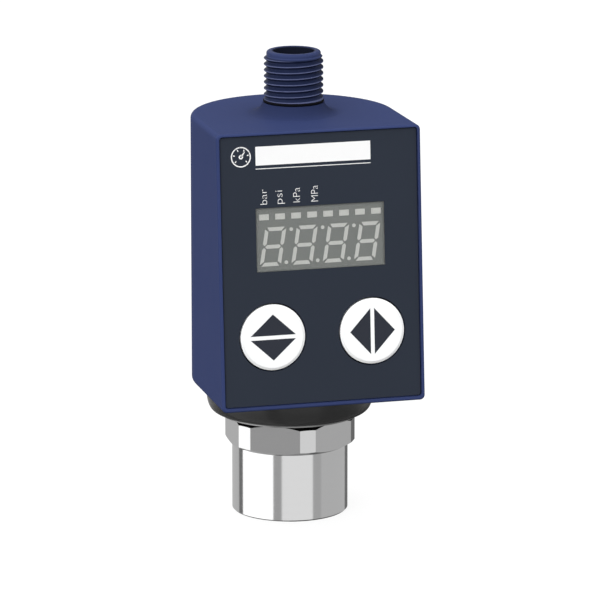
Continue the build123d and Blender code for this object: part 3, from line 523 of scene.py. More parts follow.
@dataclass(frozen=True)
class HighlightRimmed(Finish):
    """The sliding washer: near-black faces with smears of grease in their gloss, which the hex chamfers
    below mirror as painted shade, and a pale metal rim that is a painted highlight along its edge.
    """

    gloss_swing: float = 0.2
    cloud_mm: float = 3.0
    grain_mm: float = 0.3
    grain_deep_mm: float = 0.002
    # Where the rim's painted highlight starts and is full, and its colour and gloss.
    rim_mm: Place = (14.1, 14.16)
    rim_highlight: Colour = grey(0.27)
    rim_roughness: float = 0.35

    def dress(self, surface: Surface) -> None:
        """Adds the rim's painted highlight, pale metal by the distance from the fitting's axis, and the
        smears of grease.

        Args:
            surface: The material being made.
        """
        out, _ = surface.from_axis()
        # 1 on the painted highlight at the rim, 0 on the near-black faces.
        highlight_share = (out / MM).rise(*self.rim_mm)
        coat = self.roughness + (surface.cloud(self.cloud_mm) - MIDDLE) * self.gloss_swing
        surface.feed("Base Color", surface.graph.blend(highlight_share, self.colour, self.rim_highlight))
        surface.feed("Metallic", highlight_share)
        surface.feed("Roughness", coat - highlight_share * (self.roughness - self.rim_roughness))
        surface.grain(self.grain_mm, self.grain_deep_mm)


@dataclass(frozen=True)
class RolledMetal(Finish):
    """Strip, wire or plated metal: short scratches and a slightly uneven gloss."""

    unevenness: float = 0.05
    gloss_swing: float = 0.2
    gloss_mm: float = 1.5
    cloud_mm: float = 2.0
    scratch_mm: float = 0.25
    scratch_deep_mm: float = 0.001
    scratch_stretch: tuple[float, ...] = (1, 1, 8)

    def dress(self, surface: Surface) -> None:
        """Adds the scratches and the uneven gloss.

        Args:
            surface: The material being made.
        """
        surface.level(metallic=1.0)
        surface.gloss(self.roughness, self.gloss_swing, surface.cloud(self.gloss_mm, detail=3.0))
        surface.tint(self.colour, self.unevenness, surface.cloud(self.cloud_mm))
        scratches = surface.cloud(self.scratch_mm, stretch=self.scratch_stretch)
        surface.relief(scratches, self.scratch_deep_mm)


@dataclass(frozen=True)
class FrontFilm(Moulding):
    """The front overlay: polyester film with a velvet face over its printed ground."""

    unevenness: float = 0.04
    gloss_swing: float = 0.1
    gloss_mm: float = 0.5
    cloud_mm: float = 14.0
    grain_mm: float = 0.09
    grain_deep_mm: float = 0.0025


@dataclass(frozen=True)
class ClearFilm(Finish):
    """A thin clear window with a little haze in it."""

    cover: float = 0.12
    cover_swing: float = 0.02
    cloud_mm: float = 5.0
    wave_mm: float = 2.5
    wave_deep_mm: float = 0.002

    def dress(self, surface: Surface) -> None:
        """Adds the haze, a little thicker in places, and the film's faint waves.

        Args:
            surface: The material being made.
        """
        haze = surface.cloud(self.cloud_mm)
        surface.tint(self.colour, self.unevenness, haze)
        surface.feed("Alpha", self.cover + (haze - MIDDLE) * self.cover_swing)
        surface.relief(surface.cloud(self.wave_mm), self.wave_deep_mm)


@dataclass(frozen=True)
class Ink(Finish):
    """Screen-printed ink, with the mesh of the screen just to be felt in it."""

    unevenness: float = 0.015
    cloud_mm: float = 1.2
    mesh_mm: float = 0.12
    mesh_deep_mm: float = 0.0012

    def dress(self, surface: Surface) -> None:
        """Adds the screen's mesh and a slight change in the ink's cover.

        Args:
            surface: The material being made.
        """
        x, _, z = surface.axes()
        turn = 2 * math.pi / (self.mesh_mm * MM)
        weave = ((x * turn).sine() * (z * turn).sine() + 1) * MIDDLE
        surface.tint(self.colour, self.unevenness, surface.cloud(self.cloud_mm, detail=3.0))
        surface.relief(weave, self.mesh_deep_mm)


@dataclass(frozen=True)
class CircuitBoard(Finish):
    """A circuit board: solder resist with the raised lines of its copper below."""

    track_mm: float = 0.9
    track_edge: Place = (0.24, 0.16)
    track_deep_mm: float = 0.03
    break_mm: float = 3.0
    break_edge: Place = (0.46, 0.5)
    copper: Colour = (0.05, 0.24, 0.1)

    def dress(self, surface: Surface) -> None:
        """Adds the tracks as lines in two directions, each broken up in its own way.

        Args:
            surface: The material being made.
        """
        x, _, z = surface.axes()
        lines = []
        for across, stretch in ((x, (1, 1, 0.2)), (z, (0.2, 1, 1))):
            from_middle = abs((across / (self.track_mm * MM)).fraction() - MIDDLE)
            breaks = surface.cloud(self.break_mm, 0.0, stretch).rise(*self.break_edge)
            lines.append(from_middle.rise(*self.track_edge) * breaks)
        tracks = lines[0].larger(lines[1])
        surface.feed("Base Color", surface.graph.blend(tracks, self.colour, self.copper))
        surface.relief(tracks, self.track_deep_mm)


class Palette:
    """Every finish of the transmitter, named for its material slot and made into a material once."""

    FINISHES: tuple[Finish, ...] = (
        TurnedMetal("turned_steel", (0.71, 0.71, 0.712), 0.1, 0.5, milled_mm=(13.6, 20.0)),
        # Near-black faces, which the hex chamfers mirror as painted shade, and a painted highlight at the
        # rim.
        HighlightRimmed("washer_polymer", grey(0.012), 0.6, 0.05),
        RolledMetal("spring_steel", (0.78, 0.78, 0.77), 0.18, 0.5),
        # The housing's blue, with painted shade round the connector's foot.
        ShadedMoulding("blue_moulding", (0.0335, 0.0475, 0.13), 0.55, 0.02),
        # The thread's colour is the housing's blue darkened, as painted shade in its grooves, with
        # painted highlights on its crests and rim.
        LitAndShadedThread("blue_thread", (0.0125, 0.018, 0.049), 0.35, 0.05),
        Moulding("black_moulding", grey(0.037), 0.25, 0.35),
        FrontFilm("front_film", (0.0255, 0.0315, 0.045), 0.5, 0.05),
        ClearFilm("window_film", (0.45, 0.45, 0.44), 0.3, 0.1),
        Moulding("display_body", (0.12, 0.134, 0.126), 0.6, 0.1),
        Moulding("display_segment", (0.56, 0.57, 0.545), 0.55, 0.1),
        Moulding("white_cap", (0.89, 0.9, 0.9), 0.4, 0.1, unevenness=0.006),
        Moulding("arrow_inlay", (0.03, 0.0335, 0.0445), 0.5, 0.05),
        # Near black; on the connector's seal it also stands for the shade in the groove under the
        # thread's last turn.
        Moulding("seal_rubber", (0.004, 0.004, 0.006), 0.7, 0.05),
        Moulding("cell_ceramic", (0.84, 0.83, 0.79), 0.35, 0.4, grain_mm=0.05),
        TurnedMetal("brass", (0.78, 0.58, 0.28), 0.22, 0.5),
        RolledMetal("gold_contact", (0.9, 0.7, 0.32), 0.2, 0.5),
        CircuitBoard("board", (0.02, 0.13, 0.05), 0.4, 0.4),
        Moulding("chip", (0.022, 0.022, 0.024), 0.5, 0.3, grain_mm=0.05),
        TurnedMetal("can", (0.72, 0.72, 0.74), 0.25, 0.5),
        Moulding("white_plug", (0.76, 0.74, 0.68), 0.45, 0.3),
        Moulding("lead_cover", (0.32, 0.03, 0.025), 0.5, 0.3),
        Ink("print_ink", grey(0.86), 0.5, 0.1),
    )

    def __init__(self) -> None:
        """Sorts the finishes by name, and starts with no material made."""
        self.finishes = {finish.name: finish for finish in self.FINISHES}
        self.made: dict[str, bpy.types.Material] = {}

    def material(self, name: str) -> bpy.types.Material:
        """The material of a finish, made at its first use.

        Args:
            name: The finish's name, which most often is a material slot's.

        Returns:
            The material.
        """
        if name not in self.made:
            self.made[name] = self.finishes[name].make()
        return self.made[name]


@dataclass
class Assembly(ABC):
    """A sub-assembly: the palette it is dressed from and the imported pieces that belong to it."""

    palette: Palette
    nodes: tuple[str, ...] = ()

    def dress(self) -> None:
        """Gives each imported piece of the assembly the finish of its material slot."""
        for name in self.nodes:
            for slot in frame["nodes"][name].material_slots:
                slot.material = self.palette.material(SLOT_OF[name])
            LOG.info("dressed %s in %s", name, SLOT_OF[name])

    def place(self, piece: bpy.types.Object, body: Body, slot: str, finish: str = "") -> None:
        """Puts a new piece on its body, in its finish.

        Args:
            piece: The piece, where it stays at rest.
            body: The body that it rides on.
            slot: The record's material slot.
            finish: The palette's finish, where it isn't the slot's own.
        """
        piece.data.materials.append(self.palette.material(finish or slot))
        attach(piece, body.value)
        LOG.info("built %s with %d faces on %s", piece.name, len(piece.data.polygons), body.value)

    @abstractmethod
    def build(self) -> None:
        """Builds the assembly's own pieces."""


def linked(name: str, data: bpy.types.ID) -> bpy.types.Object:
    """Puts a mesh, a lamp, a curve or a camera into the scene.

    Args:
        name: The name that it gets there.
        data: What is put in.

    Returns:
        The object that holds it.
    """
    holder = bpy.data.objects.new(name, data)
    bpy.context.scene.collection.objects.link(holder)
    return holder


def shown(name: str, mesh: bpy.types.Mesh, sharp_deg: float) -> bpy.types.Object:
    """Puts a mesh into the scene, smooth apart from its sharp edges.

    Args:
        name: The name of the piece.
        mesh: Its mesh.
        sharp_deg: The turn at an edge from which it counts as sharp.

    Returns:
        The piece.
    """
    mesh.polygons.foreach_set("use_smooth", [True] * len(mesh.polygons))
    mesh.set_sharp_from_angle(angle=math.radians(sharp_deg))
    return linked(name, mesh)


@dataclass(frozen=True)
class Thread:
    """A screw thread: its pitch, its groove, and where its crest passes."""

    pitch: float
    depth: float
    crest_share: float
    root_share: float
    steps: int = 16
    fade: float = 0.7
    runs_out: bool = False

    def ridge(self, turns: float) -> float:
        """How high the thread stands at a place.

        Args:
            turns: The distance from a crest along the axis, in pitches.

        Returns:
            1 on the crest and 0 in the root.
        """
        away = abs(turns - round(turns))
        foot = (1 - self.root_share) / 2
        return min(max((foot - away) / (foot - self.crest_share / 2), 0.0), 1.0)


class TurnedShell:
    """A closed wall swept round an upright axis, whose section may change with the angle."""

    WELD_MM = 0.0005

    def __init__(self, centre: Place, corners: Sequence[float] = (), columns: int = 180) -> None:
        """Lays out the columns.

        Args:
            centre: Where the axis stands, as x and y.
            corners: Angles in degrees that must have a column, from +X towards +Y.
            columns: How many evenly spaced columns there are besides.
        """
        step = 360 / columns
        even = (step * turn for turn in range(columns))
        clear = [a for a in even if all(abs((a - c + 180) % 360 - 180) > step / 4 for c in corners)]
        self.angles = sorted([*clear, *(corner % 360 for corner in corners)])
        self.centre = centre
        self.wall = bmesh.new()

    def _point(self, angle: float, radius: float, height: float) -> bmesh.types.BMVert:
        """Adds a point of the wall.

        Args:
            angle: Its angle in degrees.
            radius: Its distance from the axis.
            height: Its height.

        Returns:
            The point.
        """
        turn = math.radians(angle)
        x = self.centre[0] + radius * math.cos(turn)
        y = self.centre[1] + radius * math.sin(turn)
        return self.wall.verts.new(Vector((x, y, height)) * MM)

    def _weave(self, rows: Sequence[Sequence[Place]], shift: int = 0) -> None:
        """Joins rows of points into a wall.

        Args:
            rows: Each row's radius and height by column.
            shift: How many rows the wall climbs in one turn.
        """
        grid = [[self._point(a, *place) for a, place in zip(self.angles, row)] for row in rows]
        last = len(grid) - 1
        for low in range(last):
            for near in range(len(self.angles)):
                far, lift = (near + 1, 0) if near + 1 < len(self.angles) else (0, shift)
                ring = [grid[low][near], grid[min(low + lift, last)][far]]
                ring += [grid[min(low + lift + 1, last)][far], grid[low + 1][near]]
                ring = list(dict.fromkeys(ring))
                if len(ring) > 2:
                    self.wall.faces.new(ring)

    def sweep(self, *sections: Section | Place) -> None:
        """Adds a wall through sections, each a radius and height, or a function of the angle.

        Args:
            sections: The sections in order.
        """
        rows = []
        for section in sections:
            rows.append([section(a) if callable(section) else section for a in self.angles])
        self._weave(rows)

    def screw(self, thread: Thread, radius: float, low: float, high: float, crest_z: float) -> None:
        """Adds a threaded wall that starts plain and ends plain, or runs out over a bevelled end.

        Args:
            thread: The thread's form. Its depth is negative where it is cut outwards.
            radius: The radius of the plain wall that the thread is cut into.
            low: The height where it starts.
            high: The height where it ends.
            crest_z: The height of a crest at the angle 0.
        """
        turns = math.ceil((high - low) / thread.pitch) + 1
        rows = []
        for row in range(turns * thread.steps + 1):
            places = []
            for angle in self.angles:
                height = low + thread.pitch * (row / thread.steps - 1 + angle / 360)
                height = min(max(height, low), high)
                crest = crest_z + thread.pitch * angle / 360
                below = min((height - low) / (thread.fade * thread.pitch), 1.0)
                above = min((high - height) / (thread.fade * thread.pitch), 1.0)
                cut = thread.depth * (1 - thread.ridge((height - crest) / thread.pitch))
                if thread.runs_out:
                    cut = max(cut * below, thread.depth - (high - height))
                else:
                    cut *= min(below, above)
                places.append((radius - cut, height))
            rows.append(places)
        self._weave(rows, thread.steps)

    def finish(self, name: str, sharp_deg: float) -> bpy.types.Object:
        """Closes the wall and puts it into the scene.

        Args:
            name: The name of the piece.
            sharp_deg: The turn at an edge from which it counts as sharp.

        Returns:
            The piece.
        """
        weld = self.WELD_MM * MM
        bmesh.ops.remove_doubles(self.wall, verts=self.wall.verts, dist=weld)
        bmesh.ops.dissolve_degenerate(self.wall, dist=weld, edges=self.wall.edges)
        bmesh.ops.recalc_face_normals(self.wall, faces=self.wall.faces)
        mesh = bpy.data.meshes.new(name)
        self.wall.to_mesh(mesh)
        self.wall.free()
        return shown(name, mesh, sharp_deg)


@dataclass
class ProcessFitting(Assembly):
    """The steel fitting: threaded port, barrel, hexagon with its corners cut, and neck."""

    barrel_r: float = 11.55
    barrel_edge: float = 0.3
    hex_z: float = 13.6
    hex_tall: float = 6.4
    flat_r: float = 12.0
    corner_r: float = 12.93
    crown_r: float = 11.2
    hex_turn: float = 0.7
    sides: int = 6
    chamfer_deg: float = 30.0
    neck_r: float = 11.0
    neck_tall: float = 12.5
    chamber_r: float = 9.2
    chamber_z: float = 17.0
    port_r: float = 5.72
    port_deep: float = 12.5
    port_lead_in: float = 0.4
    passage_r: float = 1.75
    port_thread: Thread = Thread(pitch=1.337, depth=-0.8, crest_share=0.2, root_share=0.22)
    columns: int = 240
    sharp_deg: float = 20.0

    def across(self, angle: float) -> float:
        """How far the hexagon reaches at an angle.

        Args:
            angle: The angle in degrees from +X towards +Y.

        Returns:
            The radius.
        """
        side = 360 / self.sides
        from_flat = (angle - self.hex_turn + side / 2) % side - side / 2
        from_corner = (angle - self.hex_turn) % side - side / 2
        flat = self.flat_r / math.cos(math.radians(from_flat))
        return min(flat, self.corner_r / math.cos(math.radians(from_corner)))

    def corner_angles(self) -> list[float]:
        """Finds where the flats meet the cut corners.

        Returns:
            The angles in degrees.
        """
        half = math.pi / self.sides
        off = math.degrees(math.atan((self.corner_r / self.flat_r - math.cos(half)) / math.sin(half)))
        flats = [self.hex_turn + 360 / self.sides * side for side in range(self.sides)]
        return [flat + way * off for flat in flats for way in (-1, 1)]

    def build(self) -> None:
        """Builds the whole fitting as one wall, from the port's mouth up the outside and back inside."""
        slope = math.tan(math.radians(self.chamfer_deg))
        top_z = self.hex_z + self.hex_tall
        neck_z = top_z + self.neck_tall
        passage_z = self.port_deep + (self.port_r - self.passage_r) * slope
        mouth_r = self.port_r + self.port_lead_in
        shell = TurnedShell((0, 0), self.corner_angles(), self.columns)
        shell.sweep(
            (mouth_r, 0),
            (self.barrel_r - self.barrel_edge, 0),
            (self.barrel_r, self.barrel_edge),
            (self.barrel_r, self.hex_z),
            lambda a: (self.across(a), self.hex_z + (self.across(a) - self.barrel_r) * slope),
            lambda a: (self.across(a), top_z - (self.across(a) - self.crown_r) * slope),
            (self.crown_r, top_z),
            (self.neck_r, top_z),
            (self.neck_r, neck_z),
            (self.chamber_r, neck_z),
            (self.chamber_r, self.chamber_z),
            (self.passage_r, self.chamber_z),
            (self.passage_r, passage_z),
            (self.port_r, self.port_deep),
        )
        shell.screw(self.port_thread, self.port_r, self.port_lead_in, self.port_deep, self.port_deep)
        shell.sweep((self.port_r, self.port_lead_in), (mouth_r, 0))
        piece = shell.finish("steel_fitting", self.sharp_deg)
        self.place(piece, Body.FITTING, "turned_steel")
        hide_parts("process_fitting")


@dataclass
class RoundConnector(Assembly):
    """The threaded shell on the roof, with its contact carrier, contacts, nut and board."""

    axis_y: float = -2.95
    stem_r: float = 5.3
    stem_z: float = 76.25
    thread_z: float = 83.9
    thread_tall: float = 8.8
    crest_r: float = 5.85
    crest_z: float = 91.4515
    rim_r: float = 5.35
    rim_z: float = 93.5
    rim_round: float = 0.5
    bore_r: float = 4.05
    bore_lead_in: float = 0.2
    pitch: float = 1.197
    crest_share: float = 0.12
    root_share: float = 0.2
    lip_steps: int = 8
    sharp_deg: float = 25.0
    # connector_seal is a rubber seal at the foot of the thread, near black, and stands where the groove
    # under the last turn lies in shade: partly a real seal, partly painted shade.
    nodes: tuple[str, ...] = (
        "connector_seal", "connector_nut", "contact_carrier", "contact_pins", "connector_board",
        "connector_link",
    )

    def lip(self) -> list[Place]:
        """Rounds the lip.

        Returns:
            Its places from outside to inside, as radius and height.
        """
        places = []
        for step in range(self.lip_steps + 1):
            turn = math.pi / 2 * step / self.lip_steps
            out = self.rim_r - self.rim_round + self.rim_round * math.cos(turn)
            up = self.rim_z - self.rim_round + self.rim_round * math.sin(turn)
            places.append((out, up))
        return places

    def build(self) -> None:
        """Builds the threaded shell as one wall: stem, thread, lip and bore."""
        high = self.thread_z + self.thread_tall
        deep = self.crest_r - self.rim_r
        thread = Thread(self.pitch, deep, self.crest_share, self.root_share, runs_out=True)
        shell = TurnedShell((0, self.axis_y))
        shell.sweep(
            (self.bore_r, self.stem_z),
            (self.stem_r, self.stem_z),
            (self.stem_r, self.thread_z),
            (self.crest_r, self.thread_z),
        )
        shell.screw(thread, self.crest_r, self.thread_z, high, self.crest_z)
        mouth = (self.bore_r + self.bore_lead_in, self.rim_z)
        inner = (self.bore_r, self.rim_z - self.bore_lead_in)
        shell.sweep((self.rim_r, high), *self.lip(), mouth, inner, (self.bore_r, self.stem_z))
        piece = shell.finish("threaded_shell", self.sharp_deg)
        self.place(piece, Body.HEAD, "blue_thread")
        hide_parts("connector_shell")


@dataclass(frozen=True)
class LeaningFront:
    """The housing's leaning front: places on it go across, up the face and out of it."""

    foot_y: float = -25.55
    foot_z: float = 27.05
    lean_deg: float = 4.5
    label_depth: float = 0.4

    def stand(self, proud: float) -> Matrix:
        """What carries a flat print, in millimetres, to its place on the label.

        Args:
            proud: How far the print's back stands out of the label's face.

        Returns:
            The matrix from across, up and out to the row's frame, in metres.
        """
        lean = math.radians(self.lean_deg)
        up = Vector((0, math.sin(lean), math.cos(lean)))
        out = Vector((0, -math.cos(lean), math.sin(lean)))
        origin = Vector((0, self.foot_y, self.foot_z)) + out * (proud - self.label_depth)
        turn = Matrix((Vector((1, 0, 0)), up, out)).transposed().to_4x4()
        return Matrix.Scale(MM, 4) @ Matrix.Translation(origin) @ turn


class FlatPrint:
    """A flat layer of ink, built up from outlines across and up the face."""

    RING_PARTS = 90
    WELD_MM = 0.001

    def __init__(self, thick: float) -> None:
        """Starts an empty layer of a thickness."""
        self.thick = thick
        self.ink = bmesh.new()

    def patch(self, outline: Sequence[Place]) -> None:
        """Adds a filled patch.

        Args:
            outline: Its corners, anticlockwise.
        """
        low = [self.ink.verts.new((x, y, 0)) for x, y in outline]
        high = [self.ink.verts.new((x, y, self.thick)) for x, y in outline]
        self.ink.faces.new(low[::-1])
        self.ink.faces.new(high)
        for near, _ in enumerate(outline):
            far = (near + 1) % len(outline)
            self.ink.faces.new((low[near], low[far], high[far], high[near]))

    def ring(self, centre: Place, radius: float, wide: float) -> None:
        """Adds a ring.

        Args:
            centre: The ring's centre.
            radius: The radius of its line's middle.
            wide: The line's width.
        """
        for part in range(self.RING_PARTS):
            outline = []
            for share, side in ((part, -1), (part, 1), (part + 1, 1), (part + 1, -1)):
                turn = math.radians(360 * share / self.RING_PARTS)
                reach = radius + side * wide / 2
                outline.append((centre[0] + reach * math.cos(turn), centre[1] + reach * math.sin(turn)))
            self.patch(outline)

    def spoke(self, centre: Place, angle_deg: float, start: float, end: float, wide: Place) -> None:
        """Adds a straight line that points away from a centre.

        Args:
            centre: The centre.
            angle_deg: Its direction, from across towards up.
            start: How far from the centre it starts.
            end: How far from the centre it ends.
            wide: Its width at the start and at the end.
        """
        turn = math.radians(angle_deg)
        along = Vector((math.cos(turn), math.sin(turn)))
        aside = Vector((-math.sin(turn), math.cos(turn)))
        outline = [along * start - aside * wide[0] / 2, along * end - aside * wide[1] / 2]
        outline += [along * end + aside * wide[1] / 2, along * start + aside * wide[0] / 2]
        self.patch([(centre[0] + corner.x, centre[1] + corner.y) for corner in outline])

    def finish(self, name: str, stand: Matrix) -> bpy.types.Object:
        """Puts the layer on the front.

        Args:
            name: The name of the piece.
            stand: What carries it to its place.

        Returns:
            The piece.
        """
        bmesh.ops.remove_doubles(self.ink, verts=self.ink.verts, dist=self.WELD_MM)
        self.ink.transform(stand)
        mesh = bpy.data.meshes.new(name)
        self.ink.to_mesh(mesh)
        self.ink.free()
        return shown(name, mesh, INK_SHARP_DEG)


@dataclass(frozen=True)
class GaugeMark:
    """The round gauge mark on the label: a ring, the ticks of a scale, and a needle on its hub."""

    centre: Place = (-15.54, 49.75)
    ring_r: float = 1.87
    ring_wide: float = 0.22
    ticks_deg: tuple[float, ...] = (-40, 12, 64, 116, 168, 220)
    tick_ends: Place = (0.66, 0.84)
    tick_wide: Place = (0.2, 0.2)
    needle_deg: float = 52.0
    needle_start: float = 0.2
    needle_end: float = 0.7
    needle_wide: Place = (0.34, 0.12)
    hub_r: float = 0.3
    hub_wide: float = 0.26

    def draw(self, layer: FlatPrint) -> None:
        """Draws the mark.

        Args:
            layer: The layer of ink that it is drawn in.
        """
        layer.ring(self.centre, self.ring_r, self.ring_wide)
        start, end = (self.ring_r * share for share in self.tick_ends)
        for angle in self.ticks_deg:
            layer.spoke(self.centre, angle, start, end, self.tick_wide)
        tip = self.ring_r * self.needle_end
        layer.spoke(self.centre, self.needle_deg, self.needle_start, tip, self.needle_wide)
        layer.ring(self.centre, self.hub_r, self.hub_wide)


@dataclass(frozen=True)
class UnitMark:
    """A unit printed on the label, reading up the face."""

    word: str
    across: float
    start: float
    end: float


@dataclass
class FrontPanel(Assembly):
    """The label with its printing, and the display behind its window."""

    front: LeaningFront = LeaningFront()
    ink_thick: float = 0.02
    ink_gap: float = 0.004
    strip: tuple[float, float, float, float] = (-12.64, 47.95, 10.36, 51.6)
    rule_drop: float = 0.6
    rule_wide: float = 0.14
    gauge: GaugeMark = GaugeMark()
    glyph_tall: float = 1.37
    glyph_thin: float = 0.02
    units: tuple[UnitMark, ...] = (
        UnitMark("bar", -11.2, 40.32, 43.27),
        UnitMark("psi", -8.12, 40.29, 42.86),
        UnitMark("kPa", -4.6, 40.42, 43.29),
        UnitMark("MPa", -1.0, 40.37, 43.52),
    )
    nodes: tuple[str, ...] = (
        "front_label", "display_window", "display_module", "digit_segments", "digit_points",
        "indicator_bars",
    )

    def build(self) -> None:
        """Prints the bare strip, the gauge mark and the units."""
        self.print_strip()
        self.print_gauge()
        for unit in self.units:
            self.print_unit(unit)

    def print_strip(self) -> None:
        """Prints the bare white strip, with a thin rule below it."""
        left, low, right, high = self.strip
        rule = low - self.rule_drop
        layer = FlatPrint(self.ink_thick)
        for bottom, top in ((low, high), (rule - self.rule_wide, rule)):
            layer.patch([(left, bottom), (right, bottom), (right, top), (left, top)])
        piece = layer.finish("bare_strip", self.front.stand(self.ink_gap))
        self.place(piece, Body.HEAD, "white_cap", "print_ink")

    def print_gauge(self) -> None:
        """Prints the round gauge mark."""
        layer = FlatPrint(self.ink_thick)
        self.gauge.draw(layer)
        piece = layer.finish("gauge_mark", self.front.stand(self.ink_gap))
        self.place(piece, Body.HEAD, "white_cap", "print_ink")

    def print_unit(self, unit: UnitMark) -> None:
        """Prints one unit, fitted to its length and height.

        Args:
            unit: The unit and its place.
        """
        curve = bpy.data.curves.new(f"unit_{unit.word}", "FONT")
        curve.body = unit.word
        curve.extrude = self.ink_thick / 2
        curve.offset = -self.glyph_thin
        writer = linked(curve.name, curve)
        written = writer.evaluated_get(bpy.context.evaluated_depsgraph_get())
        mesh = bpy.data.meshes.new_from_object(written)
        bpy.data.objects.remove(writer)
        xs = [vertex.co.x for vertex in mesh.vertices]
        tall = max(vertex.co.y for vertex in mesh.vertices)
        long = (unit.end - unit.start) / (max(xs) - min(xs))
        fit = Matrix.Diagonal((long, self.glyph_tall / tall, 1, 1)) @ Matrix.Translation((-min(xs), 0, 0))
        turn = Matrix.Rotation(math.pi / 2, 4, "Z")
        base = unit.across + self.glyph_tall / 2
        place = Matrix.Translation((base, unit.start, self.ink_thick / 2))
        mesh.transform(self.front.stand(self.ink_gap) @ place @ turn @ fit)
        piece = shown(f"unit_{unit.word}", mesh, INK_SHARP_DEG)
        self.place(piece, Body.HEAD, "white_cap", "print_ink")


@dataclass
class Packed(Assembly):
    """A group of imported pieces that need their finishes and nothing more."""

    def build(self) -> None:
        """Has no piece of its own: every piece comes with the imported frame."""


@dataclass
class PressureSensor(Packed):
    """The cell on its seal in the fitting, with its clamp ring, contacts, board, plug and lead."""

    nodes: tuple[str, ...] = (
        "cell_seal", "pressure_cell", "cell_clamp_ring", "cell_contacts", "cell_board",
        "cell_amplifier", "cell_header", "lead_plug", "sensor_lead",
    )


@dataclass
class Swivel(Packed):
    """The black base with the washers, ring and seal that hold it on the fitting's neck."""

    nodes: tuple[str, ...] = ("thrust_washer", "stop_washer", "snap_ring", "swivel_base", "swivel_seal")


@dataclass
class Housing(Packed):
    """The dark blue housing."""

    nodes: tuple[str, ...] = ("housing",)


@dataclass
class Buttons(Packed):
    """The two push buttons, each with its arrows, plunger, seal and switch."""

    nodes: tuple[str, ...] = (
        "button_left", "button_left_arrows", "plunger_left", "button_seal_left", "switch_left",
        "button_right", "button_right_arrows", "plunger_right", "button_seal_right", "switch_right",
    )


@dataclass
class Electronics(Packed):
    """The display board and the power board, with what they carry and what joins them."""

    nodes: tuple[str, ...] = (
        "display_board", "power_board", "board_screws", "link_socket", "link_header", "link_pins",
        "controller_chip", "output_drivers", "filter_capacitor", "power_inductor", "sensor_socket",
    )


@dataclass(frozen=True)
class Band:
    """A stretch of what polished metal sees around it, up to an angle from the front."""

    up_to: float
    light: float
    ease: float = 2.0


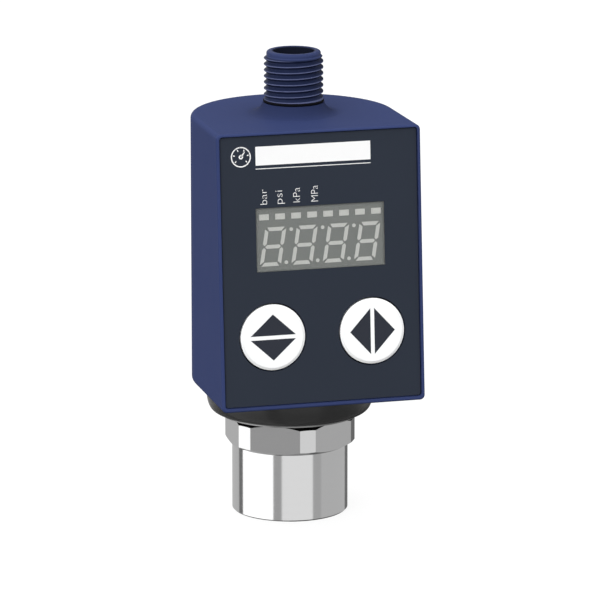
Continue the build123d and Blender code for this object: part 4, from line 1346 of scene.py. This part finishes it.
@dataclass(frozen=True)
class Studio:
    """The plain studio: a white floor, even light from all round, a soft lamp and the camera."""

    sky: float = 1.33
    below: Place = (-0.5, -0.3)
    below_light: float = 0.4
    lamp_towards: Place = (-0.23, -0.31)
    lamp_rise: float = 0.2
    lamp_soft_deg: float = 50.0
    floor_half: float = 4.0
    floor_grey: float = 0.12
    floor_cloud_mm: float = 60.0
    floor_mottle: float = 1.02
    floor_shadow: float = 0.2
    camera_azimuth: float = -15.472
    camera_rise: float = 13.454
    camera_distance: float = 967.97
    camera_target: tuple[float, float, float] = (2.834, 0.0, 41.647)
    camera_lens: float = 288.64
    camera_sees: Place = (0.05, 20.0)
    sensor: float = 36.0
    bands: tuple[Band, ...] = (
        Band(-138.0, 0.54),
        Band(-123.6, 0.19, 3.0),
        Band(-48.8, 1.5, 3.0),
        Band(-31.5, 0.415),
        Band(31.5, 0.90),
        Band(50.0, 0.443),
        Band(128.1, 0.53, 3.0),
        Band(165.0, 0.17),
        Band(180.0, 0.54),
    )

    def stops(self) -> list[Place]:
        """Lays out the bands over the whole turn.

        Returns:
            The stops of a ramp, as place and light.
        """
        stops = [(0.0, self.bands[0].light)]
        for band, following in zip(self.bands, self.bands[1:]):
            middle = (band.up_to + 180) / 360
            half = following.ease / 2 / 360
            stops += [(middle - half, band.light), (middle + half, following.light)]
        return stops

    def light_world(self) -> None:
        """Lights the world evenly, white for the camera and banded for what reflects."""
        world = bpy.data.worlds.new("studio")
        bpy.context.scene.world = world
        world.use_nodes = True
        graph = Graph(world.node_tree)
        towards = graph.add("ShaderNodeTexCoord").outputs["Generated"]
        x, y, z = graph.parts(towards)
        turn = x.angle_from(y * -1.0) / (2 * math.pi) + 0.5
        ramp = graph.add("ShaderNodeValToRGB", {"stops": self.stops()}, {0: turn})
        path = graph.add("ShaderNodeLightPath").outputs
        dimmed = graph.blend(self.below_light, grey(0.0), ramp.outputs[0])
        around = graph.blend(z.rise(*self.below), dimmed, ramp.outputs[0])
        seen = graph.blend(path["Is Glossy Ray"], grey(self.sky), around)
        white = Signal(graph, path["Is Camera Ray"]).larger(Signal(graph, path["Is Transmission Ray"]))
        seen = graph.blend(white, seen, grey(1.0))
        background = graph.add("ShaderNodeBackground", feeds={"Color": seen, "Strength": 1.0})
        graph.add("ShaderNodeOutputWorld", feeds={"Surface": background.outputs[0]})

    def hang_lamp(self) -> None:
        """Hangs one large soft lamp above the front."""
        towards = Vector((*self.lamp_towards, self.lamp_rise))
        lamp = bpy.data.lights.new("soft_lamp", "SUN")
        lamp.energy = towards.length * math.pi
        lamp.angle = math.radians(self.lamp_soft_deg)
        holder = linked("soft_lamp", lamp)
        holder.rotation_mode = "QUATERNION"
        holder.rotation_quaternion = towards.to_track_quat("Z", "Y")
        holder.visible_glossy = False

    def lay_floor(self) -> None:
        """Lays the white floor, which keeps the shadow and lets reflections see the studio."""
        half = self.floor_half
        square = [(-half, -half, 0), (half, -half, 0), (half, half, 0), (-half, half, 0)]
        mesh = bpy.data.meshes.new("floor")
        mesh.from_pydata(square, [], [(0, 1, 2, 3)])
        floor = linked("floor", mesh)
        surface = Surface("white_floor")
        surface.level(roughness=0.9, specular_ior_level=0.0, emission_strength=1.0)
        camera = surface.graph.add("ShaderNodeLightPath").outputs["Is Camera Ray"]
        clouds = surface.cloud(self.floor_cloud_mm)
        light, dark = grey(self.floor_grey * self.floor_mottle), grey(self.floor_grey)
        mottled = surface.graph.blend(clouds, dark, light)
        surface.feed("Base Color", surface.graph.blend(camera, mottled, grey(self.floor_shadow)))
        glow = surface.graph.blend(camera, grey(0.0), grey(1 - self.floor_shadow))
        surface.feed("Emission Color", glow)
        floor.data.materials.append(surface.material)
        floor.visible_glossy = False
        floor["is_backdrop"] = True

    def stand_camera(self) -> None:
        """Stands the camera where the photograph was taken from."""
        turn = math.radians(self.camera_azimuth)
        rise = math.radians(self.camera_rise)
        level = math.cos(rise)
        away = Vector((math.sin(turn) * level, -math.cos(turn) * level, math.sin(rise)))
        lens = bpy.data.cameras.new("camera")
        lens.lens = self.camera_lens
        lens.sensor_width = self.sensor
        lens.clip_start, lens.clip_end = self.camera_sees
        camera = linked("camera", lens)
        camera.location = (Vector(self.camera_target) + away * self.camera_distance) * MM
        camera.rotation_mode = "QUATERNION"
        camera.rotation_quaternion = away.to_track_quat("Z", "Y")
        bpy.context.scene.camera = camera

    def set_up(self) -> None:
        """Sets up the light, the floor, the camera and a plain view of colour."""
        bpy.context.scene.view_settings.view_transform = "Standard"
        self.light_world()
        self.hang_lamp()
        self.lay_floor()
        self.stand_camera()


def corners() -> list[list[float]]:
    """The lowest and highest corner of everything that shows, as plain lists."""
    return [list(corner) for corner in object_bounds()]


def main() -> None:
    """Builds and dresses the transmitter, one sub-assembly after another."""
    logging.basicConfig(level=logging.INFO, format="%(name)s: %(message)s")
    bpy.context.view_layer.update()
    Studio().set_up()
    palette = Palette()
    for kind in (
        ProcessFitting,
        PressureSensor,
        Swivel,
        Housing,
        FrontPanel,
        Buttons,
        Electronics,
        RoundConnector,
    ):
        assembly = kind(palette)
        assembly.build()
        assembly.dress()


if __name__ == "__main__":
    main()
